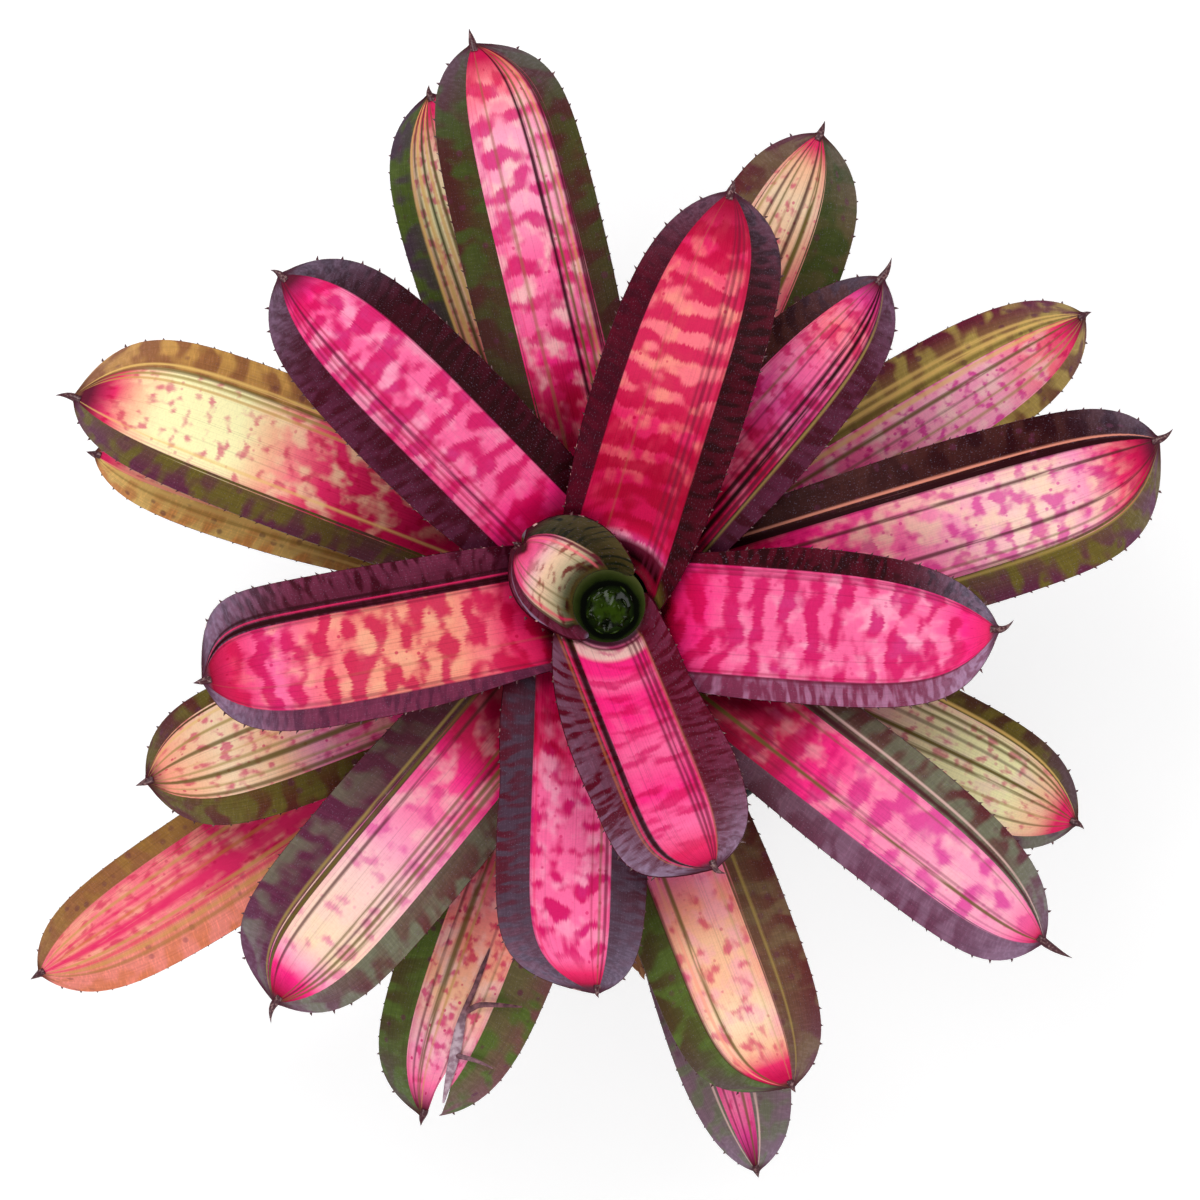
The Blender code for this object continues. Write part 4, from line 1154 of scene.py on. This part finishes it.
def make_leaves():
    """The living leaves, each in place of its plain one."""
    shared = [leaf_under_material(), rim_material(), thorn_material()]
    for number, (leaf, look) in enumerate(zip(LEAVES, LOOKS), start=1):
        blade = Blade(number, leaf)
        shape = leaf_sheet(blade)
        thicken(shape)
        add_thorns(shape, blade, random.Random(number))
        materials = [leaf_top_material(number, leaf, look), *shared]
        add_piece(f"leaf_{number:02d}_fine", shape, materials, f"leaf_{number:02d}")


# The dry leaf is fully crumpled this far past its waist, and as deep as this.
CRUMPLE_RUN = 40.0
CRUMPLE_HEIGHT = 3.0


def withered_material():
    """Dry leaf: orange-brown with dark stains."""
    surface = LeafSurface("withered_leaf", 4.0)
    streaks = surface.mottle(33.333, 1.42857, detail=4.0, roughness=0.7)
    stains = surface.mottle(12.5, 8.3333, 2.0, detail=3.0)
    skin = surface.mix(streaks.rise(0.35, 0.65), colour(0x96603C), colour(0xBC8858))
    skin = surface.mix(stains.rise(0.46, 0.66) * 0.6, skin, colour(0x5E3420))
    surface.bump(streaks, 0.6, 0.5)
    return surface.finish(skin, 0.8)


def make_withered_leaf():
    """The dry old leaf under the others, crumpled along its length."""
    blade = Blade(LEAF_COUNT, LEAVES[-1])

    def crumple(length, offset):
        """How far a point of the leaf is lifted, growing from the waist outwards."""
        away = ease(0.0, CRUMPLE_RUN, length - blade.shell.waist_length)
        point = Vector((length * 0.05, offset * 0.12, 3.0))
        return UP * (noise.noise(point) * CRUMPLE_HEIGHT * away)

    shape = leaf_sheet(blade, crumple)
    thicken(shape)
    add_thorns(shape, blade, random.Random(LEAF_COUNT))
    skin = withered_material()
    add_piece("withered_leaf_fine", shape, [skin] * 4, "withered_leaf")


# Strips of dried skin that curl off the tear in leaf_19: points as distance from the axis, distance to the
# left of the middle line, height above the leaf and half-width.
DRY_STRIPS = (
    ((157.0, 2.8, 0.6, 0.3), (166.0, 2.6, 1.2, 1.0), (175.5, 2.4, 1.5, 1.1), (186.0, 1.7, 1.7, 1.3),
     (194.0, 2.4, 1.8, 2.2), (203.0, 3.8, 1.7, 2.4), (212.0, 4.8, 1.5, 2.0), (220.0, 5.7, 1.2, 1.3),
     (227.0, 6.5, 0.8, 0.4)),
    ((187.0, 2.0, 1.2, 1.0), (183.5, 4.2, 3.0, 1.3), (180.5, 7.5, 4.4, 1.2), (177.8, 15.0, 5.0, 1.0),
     (175.3, 24.4, 3.8, 0.3)),
    ((206.0, 4.6, 1.2, 1.0), (204.8, 6.4, 3.0, 1.2), (204.0, 13.5, 3.8, 0.9), (204.6, 21.6, 3.2, 0.25)),
)
STRIP_STEPS = 6
STRIP_FLATNESS = 0.4

# Where the strip starts to widen into a flap and where it is one, in metres along Y.
FLAP_START = -0.172
FLAP_END = -0.186


def dry_strip_material(name, bleached):
    """Dried skin: brown-purple, bleached to lilac where it widens into a flap."""
    surface = Surface(name)
    grain = surface.noise(surface.place(), scale=400.0, detail=3.0)
    y = surface.parts(surface.place())[1]
    brown = surface.mix(grain.rise(0.35, 0.65), colour(0x4E2430), colour(0x84505A))
    pale = surface.mix(grain.rise(0.35, 0.65), colour(0x8E6C7C), colour(0xC0A8B4))
    skin = surface.mix((1.0 - y.rise(FLAP_END, FLAP_START)) * bleached, brown, pale)
    surface.bump(grain, 0.5, 0.3)
    return surface.finish(skin, 0.6)


def make_dry_strips():
    """The curled strips along the tear."""
    blade = Blade(SPLIT_LEAF, LEAVES[SPLIT_LEAF - 1])
    shape = bmesh.new()
    for index, route in enumerate(DRY_STRIPS):
        knots = []
        for radius, offset, lift, _ in route:
            knots.append(blade.place(blade.shell.length_at(radius), offset) + UP * lift)
        points = smooth_path(knots, STRIP_STEPS)
        widths = [width for _, _, _, width in route]
        radii = [float(np.interp(i / STRIP_STEPS, range(len(route)), widths)) for i in range(len(points))]
        for face in tube(shape, points, radii, STRIP_FLATNESS):
            face.material_index = min(index, 1)
    materials = [dry_strip_material("dry_strip", 1.0), dry_strip_material("dry_curl", 0.15)]
    add_piece("leaf_19_dry_strips", shape, materials)


def smooth_path(knots, steps):
    """Points along a smooth curve through the knots."""
    points = []
    for index in range(len(knots) - 1):
        before = knots[max(index - 1, 0)]
        start, end = knots[index], knots[index + 1]
        after = knots[min(index + 2, len(knots) - 1)]
        start_handle = start + (end - before) / 6.0
        end_handle = end - (after - start) / 6.0
        points += interpolate_bezier(start, start_handle, end_handle, end, steps + 1)[:-1]
    return points + [knots[-1]]


def spun(outline, steps):
    """A shape turned about the Z axis from an outline of radius and height."""
    shape = bmesh.new()
    corners = [shape.verts.new((radius, 0.0, height)) for radius, height in outline]
    edges = [shape.edges.new(pair) for pair in zip(corners, corners[1:])]
    bmesh.ops.spin(shape, geom=corners + edges, cent=(0, 0, 0), axis=(0, 0, 1), angle=math.tau,
                   steps=steps, use_merge=True)
    bmesh.ops.remove_doubles(shape, verts=shape.verts, dist=0.001)
    bmesh.ops.recalc_face_normals(shape, faces=shape.faces)
    return shape


# The cup's water. Its outline has shares of the cup's radius and heights.
CUP_STEPS = 96
CUP_GAP = 0.2
SHEATH_TURN = 12.0
WATER_OUTLINE = (
    (0.0, WATER_LEVEL), (0.5, WATER_LEVEL), (0.8, WATER_LEVEL), (0.9, WATER_LEVEL + 0.03),
    (0.96, WATER_LEVEL + 0.08), (1.0, WATER_LEVEL + 0.2), (0.985, WATER_LEVEL - 3.0), (0.97, WATER_FLOOR),
    (0.0, WATER_FLOOR),
)

# Tones of the water from the pool's centre outwards, as shares of a radius in millimetres. The near-black
# ring is painted shade in the deep gap between the flower head and the sheaths.
POOL_CENTRE = (1.2, -2.6)
DEPTHS_RADIUS = 18.0
DEPTHS_AND_SHADE = ((0.0, 0x2C4410), (0.5, 0x182608), (0.61, 0x040602), (0.71, 0x070A03), (0.76, 0x222E0A),
          (0.86, 0x3C481A), (0.98, 0x5E6636))

# The wet folds of the flower head. Each ring of folds has a radius, a count, the arc that a fold spans in
# degrees, its thickness and its height over the water. Chance moves a fold along the ring by a share of its
# pitch, changes its arc and lets it drift in or out.
FOLD_RINGS = ((10.4, 8, 24.0, 0.5, 0.1), (7.6, 6, 34.0, 0.55, 0.8), (4.4, 3, 50.0, 0.6, 1.3))
FOLD_STEPS = 7
FOLD_SEED = 5
FOLD_SHIFT = 0.2
FOLD_SWEEP = (0.7, 1.15)
FOLD_DRIFT = 0.9
FOLD_RING_TURN = 31.0
FOLD_ENDS = (0.08, 0.92)
FOLD_FLATNESS = 0.8
FOLD_ARCH = 0.8
HEAD_STEPS = 64
HEAD_RELIEF = 0.9
HEAD_SMOOTH_HEIGHT = 4.0
HEAD_OUTLINE = (
    (0.0, HEAD_FOOT_HEIGHT), (7.4, HEAD_FOOT_HEIGHT), (10.4, 205.0), (10.9, WATER_LEVEL - 0.9),
    (9.4, WATER_LEVEL - 0.1), (6.0, WATER_LEVEL + 0.7), (2.5, WATER_LEVEL + 1.1), (0.0, WATER_LEVEL + 1.2),
)


def cup_radius(direction, height):
    """Inside radius of the cup: the innermost sheath, and the next one where the first leaves off."""
    inner = Shell(0, LEAVES[0].reach)
    outer = Shell(1, LEAVES[1].reach)
    radii = [float(np.interp(height, shell.height, shell.radius)) - CUP_GAP for shell in (inner, outer)]
    turned = abs((direction - Blade(1, LEAVES[0]).foot_direction + 180.0) % 360.0 - 180.0)
    return between(radii, ease(SHEATH_WRAP - SHEATH_TURN, SHEATH_WRAP + SHEATH_TURN, turned))


def make_water():
    """Still water in the cup, drawn up a little where it wets the sheaths."""
    shape = spun(WATER_OUTLINE, CUP_STEPS)
    for vertex in shape.verts:
        direction = math.degrees(math.atan2(vertex.co.y, vertex.co.x))
        size = cup_radius(direction, vertex.co.z)
        vertex.co.x *= size
        vertex.co.y *= size
    add_piece("cup_water_fine", shape, [water_material()], "cup_water")


def water_material():
    """Dark water over the green head, with a near-black ring of painted shade around it, paler towards the
    sheaths around it.
    """
    surface = Surface("cup_water")
    x, y, _ = surface.parts(surface.place())
    east = x / MM - POOL_CENTRE[0]
    north = y / MM - POOL_CENTRE[1]
    radius = (east * east + north * north).math("SQRT")
    swirl = surface.noise(surface.place(), scale=160.0, detail=3.0)
    # The near-black ring in these tones is painted shade of the deep gap around the flower head.
    tones = [(share, colour(code)) for share, code in DEPTHS_AND_SHADE]
    depths_and_shade = surface.ramp(radius / DEPTHS_RADIUS + (swirl - 0.5) * 0.1, tones)
    surface.bump(surface.noise(surface.place(), scale=300.0), 0.25, 0.4)
    return surface.finish(depths_and_shade, 0.04, specular_ior_level=0.45)


def make_flower_head():
    """The sunken flower head: a wet green mound with curled folds that break the water."""
    shape = spun(HEAD_OUTLINE, HEAD_STEPS)
    for vertex in shape.verts:
        away = ease(HEAD_FOOT_HEIGHT + HEAD_SMOOTH_HEIGHT, WATER_LEVEL, vertex.co.z)
        point = Vector((vertex.co.x * 0.28, vertex.co.y * 0.28, 4.0))
        vertex.co.z += away * noise.noise(point) * HEAD_RELIEF
    bmesh.ops.translate(shape, vec=(*POOL_CENTRE, 0.0), verts=shape.verts)
    draw = random.Random(FOLD_SEED)
    centre = Vector(POOL_CENTRE)
    for radius, count, arc, thickness, height in FOLD_RINGS:
        for index in range(count):
            shift = draw.uniform(-FOLD_SHIFT, FOLD_SHIFT)
            start = 360.0 * (index + shift) / count + radius * FOLD_RING_TURN
            sweep = arc * draw.uniform(*FOLD_SWEEP)
            drift = draw.uniform(-FOLD_DRIFT, FOLD_DRIFT)
            points = []
            radii = []
            for step in range(FOLD_STEPS + 1):
                share = step / FOLD_STEPS
                flat = centre + heading(start + sweep * share) * (radius + drift * share)
                arch = FOLD_ARCH * math.sin(math.pi * share)
                points.append(Vector((flat.x, flat.y, WATER_LEVEL + height + arch)))
                radii.append(thickness * math.sin(math.pi * between(FOLD_ENDS, share)))
            tube(shape, points, radii, FOLD_FLATNESS)
    add_piece("bud_nest_fine", shape, [folds_material()], "bud_nest")


def folds_material():
    """Wet green buds, darker in blotches."""
    surface = Surface("wet_folds")
    blotches = surface.noise(surface.place(), scale=170.0, detail=3.0)
    skin = surface.mix(blotches.rise(0.38, 0.62), colour(0x090F02), colour(0x2C4009))
    surface.bump(blotches, 0.3, 0.6)
    return surface.finish(skin, 0.14, specular_ior_level=0.22)


# The pot: heights of its foot and of the recess under it, the moulding ring below the lip, and its rounding.
LIP_BOTTOM = POT_HEIGHT - POT_LIP_DEPTH
WALL_TOP_RADIUS = POT_RIM_RADIUS - POT_LIP_WIDTH
BASE_RECESS = 0.9
FOOT_TOP = 8.0
RING_HEIGHT = LIP_BOTTOM - 9.0
LIP_INNER_HEIGHT = LIP_BOTTOM - 4.0
POT_ROUNDING = 1.4
POT_STEPS = 144
POT_SHARP_DEGREES = 60.0
DRAIN_SIDES = 24


def pot_inner_radius(height):
    """Inside radius of the pot's wall."""
    slope = (WALL_TOP_RADIUS - POT_BASE_RADIUS) / LIP_BOTTOM
    return POT_BASE_RADIUS - POT_WALL + slope * height


# A rounded corner takes up at most this share of the lines beside it, and is drawn by handles this long.
CORNER_SHARE = 0.45
CORNER_PULL = 0.55


def rounded(outline, radius, steps=3):
    """An outline with each of its inner corners rounded by an arc-like curve."""
    points = [Vector(outline[0])]
    for before, corner, after in zip(outline, outline[1:], outline[2:]):
        corner = Vector(corner)
        back = Vector(before) - corner
        ahead = Vector(after) - corner
        size = min(radius, back.length * CORNER_SHARE, ahead.length * CORNER_SHARE)
        start = corner + back.normalized() * size
        end = corner + ahead.normalized() * size
        start_handle = start.lerp(corner, CORNER_PULL)
        end_handle = end.lerp(corner, CORNER_PULL)
        points += interpolate_bezier(start, start_handle, end_handle, end, steps + 1)
    return points + [Vector(outline[-1])]


def pot_material():
    """Satin charcoal plastic, dusty towards the base and scuffed."""
    surface = Surface("pot_plastic")
    place = surface.place()
    x, y, z = surface.parts(place)
    dust = surface.noise(place, scale=60.0, detail=5.0, roughness=0.65)
    scuffs = surface.noise(surface.vector(x * 30.0, y * 30.0, z * 900.0), detail=3.0)
    low = 1.0 - z.rise(0.0, 0.06)
    skin = surface.mix(dust.rise(0.45, 0.7) * (0.25 + low * 0.4), colour(0x23282D), colour(0x55524C))
    skin = surface.mix(scuffs.rise(0.6, 0.72) * 0.3, skin, colour(0x5A6066))
    grain = surface.noise(place, scale=1800.0, detail=1.0)
    surface.bump(grain + scuffs * 0.4, 0.25, 0.1)
    return surface.finish(skin, 0.42 + dust * 0.2)


def make_pot():
    """The nursery pot with its rounded lip, moulding rings and drainage holes."""
    ring_radius = pot_inner_radius(RING_HEIGHT) + POT_WALL
    outline = [
        (0.0, BASE_RECESS), (POT_BASE_RADIUS - 9.0, BASE_RECESS), (POT_BASE_RADIUS - 8.0, 0.0),
        (POT_BASE_RADIUS, 0.0), (pot_inner_radius(FOOT_TOP) + POT_WALL, FOOT_TOP),
        (ring_radius, RING_HEIGHT), (ring_radius + 0.7, RING_HEIGHT + 0.6),
        (ring_radius + 0.9, RING_HEIGHT + 2.4), (ring_radius + 0.5, RING_HEIGHT + 3.2),
        (WALL_TOP_RADIUS - 0.1, LIP_BOTTOM - 1.0), (POT_RIM_RADIUS - 0.6, LIP_BOTTOM),
        (POT_RIM_RADIUS, POT_HEIGHT), (WALL_TOP_RADIUS, POT_HEIGHT),
        (pot_inner_radius(LIP_INNER_HEIGHT), LIP_INNER_HEIGHT), (pot_inner_radius(POT_FLOOR), POT_FLOOR),
        (0.0, POT_FLOOR),
    ]
    shape = spun(rounded(outline, POT_ROUNDING), POT_STEPS)
    pot = add_piece("pot_fine", shape, [pot_material()], "pot", POT_SHARP_DEGREES)
    holes = bmesh.new()
    for step in range(DRAIN_COUNT):
        centre = (heading(360.0 * (step + 0.5) / DRAIN_COUNT) * DRAIN_CIRCLE).to_3d()
        bmesh.ops.create_cone(holes, cap_ends=True, segments=DRAIN_SIDES, radius1=DRAIN_RADIUS,
                              radius2=DRAIN_RADIUS, depth=4.0 * POT_FLOOR, matrix=Matrix.Translation(centre))
    cutter = add_object("drain_cutter", holes)
    cut = pot.modifiers.new("drain_holes", "BOOLEAN")
    cut.operation = "DIFFERENCE"
    cut.object = cutter
    apply_modifiers(pot)
    bpy.data.objects.remove(cutter)


def apply_modifiers(piece):
    """Turn a piece's modifiers into its mesh."""
    depsgraph = bpy.context.evaluated_depsgraph_get()
    mesh = bpy.data.meshes.new_from_object(piece.evaluated_get(depsgraph))
    piece.modifiers.clear()
    piece.data = mesh


# The mix keeps clear of the pot by one gap and of its floor and the stem by another.
MIX_RINGS = 34
MIX_STEPS = 150
MIX_POT_GAP = 0.5
MIX_GAP = 0.4
STEM_FOOT_HEIGHT = 107.6

# Its heap falls off between these distances from the middle. Its roughness has a fineness, a layer of the
# random pattern and a height, first for the coarse lumps and then for the fine ones.
MIX_SLOPE = (40.0, 100.0)
MIX_ROUGHNESS = ((0.09, 1.0, 1.3), (0.35, 5.0, 0.9))
HEIGHT_TOLERANCE = 0.01

# Chips: where they lie, how they tilt, in radians, and the least and greatest of their three sizes.
CHIP_COUNT = 420
CHIP_SEED = 11
CHIP_START = 24.0
CHIP_EDGE_GAP = 4.0
CHIP_LIFT = 0.4
CHIP_TILT = 0.4
CHIP_SIZES = ((2.0, 5.5), (1.4, 3.2), (0.7, 1.6))
CHIP_ROUGHNESS = 0.35


def mix_height(x, y):
    """Height of the potting mix's rough surface."""
    height = between((MIX_CROWN_HEIGHT, MIX_EDGE_HEIGHT), ease(*MIX_SLOPE, math.hypot(x, y)))
    for fineness, layer, relief in MIX_ROUGHNESS:
        height += noise.noise(Vector((x * fineness, y * fineness, layer))) * relief
    return height


def mix_material():
    """Dark crumbs of bark and peat, with paler flecks."""
    surface = Surface("potting_mix")
    place = surface.place()
    crumbs = surface.noise(place, scale=260.0, detail=5.0, roughness=0.7)
    flecks = surface.noise(place, scale=700.0, detail=1.0)
    skin = surface.mix(crumbs.rise(0.35, 0.68), colour(0x17110D), colour(0x4A3424))
    skin = surface.mix(flecks.rise(0.7, 0.76) * 0.7, skin, colour(0x9A8A70))
    surface.bump(crumbs, 0.9, 1.2)
    return surface.finish(skin, 0.92)


def make_mix():
    """The potting mix with its rough top."""
    floor = POT_FLOOR + MIX_GAP
    outer = pot_inner_radius(MIX_EDGE_HEIGHT) - MIX_POT_GAP
    inner = STEM_FOOT_RADIUS + MIX_GAP
    outline = [(0.0, floor), (pot_inner_radius(floor) - MIX_POT_GAP, floor)]
    outline += [(between((outer, inner), step / MIX_RINGS), MIX_EDGE_HEIGHT) for step in range(MIX_RINGS + 1)]
    outline += [(inner, STEM_FOOT_HEIGHT), (0.0, STEM_FOOT_HEIGHT)]
    shape = spun(outline, MIX_STEPS)
    for vertex in shape.verts:
        if abs(vertex.co.z - MIX_EDGE_HEIGHT) < HEIGHT_TOLERANCE:
            vertex.co.z = mix_height(vertex.co.x, vertex.co.y)
    add_piece("potting_mix_fine", shape, [mix_material()], "potting_mix")


def chip_material():
    """Bark: dark brown with a paler grain."""
    surface = Surface("bark_chip")
    grain = surface.noise(surface.place(), scale=180.0, detail=4.0)
    skin = surface.mix(grain.rise(0.35, 0.65), colour(0x2A1A10), colour(0x6E4C30))
    surface.bump(grain, 0.6, 0.6)
    return surface.finish(skin, 0.85)


def make_chips():
    """The bark chips that lie on the mix."""
    shape = bmesh.new()
    draw = random.Random(CHIP_SEED)
    noise.seed_set(CHIP_SEED)
    outer = pot_inner_radius(MIX_EDGE_HEIGHT) - MIX_POT_GAP - CHIP_EDGE_GAP
    for _ in range(CHIP_COUNT):
        radius = math.sqrt(draw.uniform(CHIP_START ** 2, outer ** 2))
        spot = heading(draw.uniform(0.0, 360.0)) * radius
        centre = Vector((spot.x, spot.y, mix_height(spot.x, spot.y) + CHIP_LIFT))
        size = Matrix.Diagonal((*[draw.uniform(*limits) for limits in CHIP_SIZES], 1.0))
        turn = Matrix.Rotation(draw.uniform(0.0, math.tau), 4, "Z")
        turn = turn @ Matrix.Rotation(draw.uniform(-CHIP_TILT, CHIP_TILT), 4, "X")
        place = Matrix.Translation(centre) @ turn @ size
        made = bmesh.ops.create_icosphere(shape, subdivisions=1, radius=0.5, matrix=place)
        for vertex in made["verts"]:
            vertex.co += noise.noise_vector(vertex.co * 0.6) * CHIP_ROUGHNESS
    add_piece("bark_chips", shape, [chip_material()], sharp_degrees=30.0)


def finish_stem():
    """The stem keeps its own mesh and gets a fibrous skin."""
    surface = Surface("stem_skin")
    place = surface.place()
    x, y, z = surface.parts(place)
    fibres = surface.noise(surface.vector(x * 900.0, y * 900.0, z * 60.0), detail=4.0)
    skin = surface.mix(fibres.rise(0.35, 0.65), colour(0x4A3B22), colour(0x8E8252))
    surface.bump(fibres, 0.5, 0.5)
    material = surface.finish(skin, 0.7)
    for material_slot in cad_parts["stem"].material_slots:
        material_slot.material = material


# The studio. Each light has a direction and an elevation, in degrees, and a power in watts. The ceiling
# starts and ends where a ray's upward share has these values.
FLOOR_SIZE = 6.0
FLOOR_GLOW = 0.35
LIGHT_DISTANCE = 1.9
LIGHT_SIZE = 1.1
LIGHTS = ((130.0, 54.0, 13.0), (40.0, 50.0, 8.0), (-50.0, 48.0, 7.2), (-140.0, 50.0, 9.5))
LIGHT_TARGET = Vector((0.0, 0.0, 0.2))
WHITE = (1.0, 1.0, 1.0, 1.0)
WORLD_LIGHT = 0.46
CEILING_LIGHT = 0.04
CEILING_START = 0.7
CEILING_END = 0.97


def make_world():
    """Even light from all sides, with a darker ceiling so that level leaves don't mirror it."""
    world = bpy.data.worlds.new("studio")
    world.use_nodes = True
    nodes = Nodes(world.node_tree)
    upward = nodes.parts(nodes.node("TexCoord", output="Generated"))[2]
    inputs = {"Value": upward, "From Min": CEILING_START, "From Max": CEILING_END}
    inputs |= {"To Min": WORLD_LIGHT, "To Max": CEILING_LIGHT}
    background = world.node_tree.nodes["Background"]
    nodes.feed(background.inputs["Strength"], nodes.node("MapRange", None, inputs))
    nodes.feed(background.inputs["Color"], WHITE)
    return world


def make_studio():
    """A pale floor, soft lights around and above, and the world's light."""
    shape = bmesh.new()
    bmesh.ops.create_circle(shape, cap_ends=True, segments=64, radius=FLOOR_SIZE / 2.0)
    paper = Surface("floor_paper").finish((0.86, 0.86, 0.86, 1.0), 0.9, specular_ior_level=0.1,
                                          emission_color=WHITE, emission_strength=FLOOR_GLOW)
    floor = add_object("floor", shape, [paper], unit=1.0)
    for index, (azimuth, elevation, power) in enumerate(LIGHTS):
        lamp = bpy.data.lights.new(f"softbox_{index}", "AREA")
        lamp.shape = "DISK"
        lamp.size = LIGHT_SIZE
        lamp.energy = power
        flat = heading(azimuth) * math.cos(math.radians(elevation))
        away = Vector((flat.x, flat.y, math.sin(math.radians(elevation))))
        softbox = bpy.data.objects.new(lamp.name, lamp)
        softbox.location = LIGHT_TARGET + away * LIGHT_DISTANCE
        softbox.rotation_euler = away.to_track_quat("Z", "Y").to_euler()
        bpy.context.scene.collection.objects.link(softbox)
    bpy.context.scene.world = make_world()
    bpy.context.scene.view_settings.view_transform = "Standard"


def make_camera():
    """The camera over the plant, set so that its view matches the photograph."""
    lens = bpy.data.cameras.new("overhead")
    lens.lens = CAMERA_LENS
    lens.sensor_width = CAMERA_SENSOR
    lens.sensor_fit = "HORIZONTAL"
    camera = bpy.data.objects.new("overhead", lens)
    camera.location = (CAMERA_X, CAMERA_Y, CAMERA_HEIGHT)
    bpy.context.scene.collection.objects.link(camera)
    bpy.context.scene.camera = camera


make_studio()
make_camera()
make_leaves()
make_withered_leaf()
make_dry_strips()
make_water()
make_flower_head()
make_pot()
make_mix()
make_chips()
finish_stem()
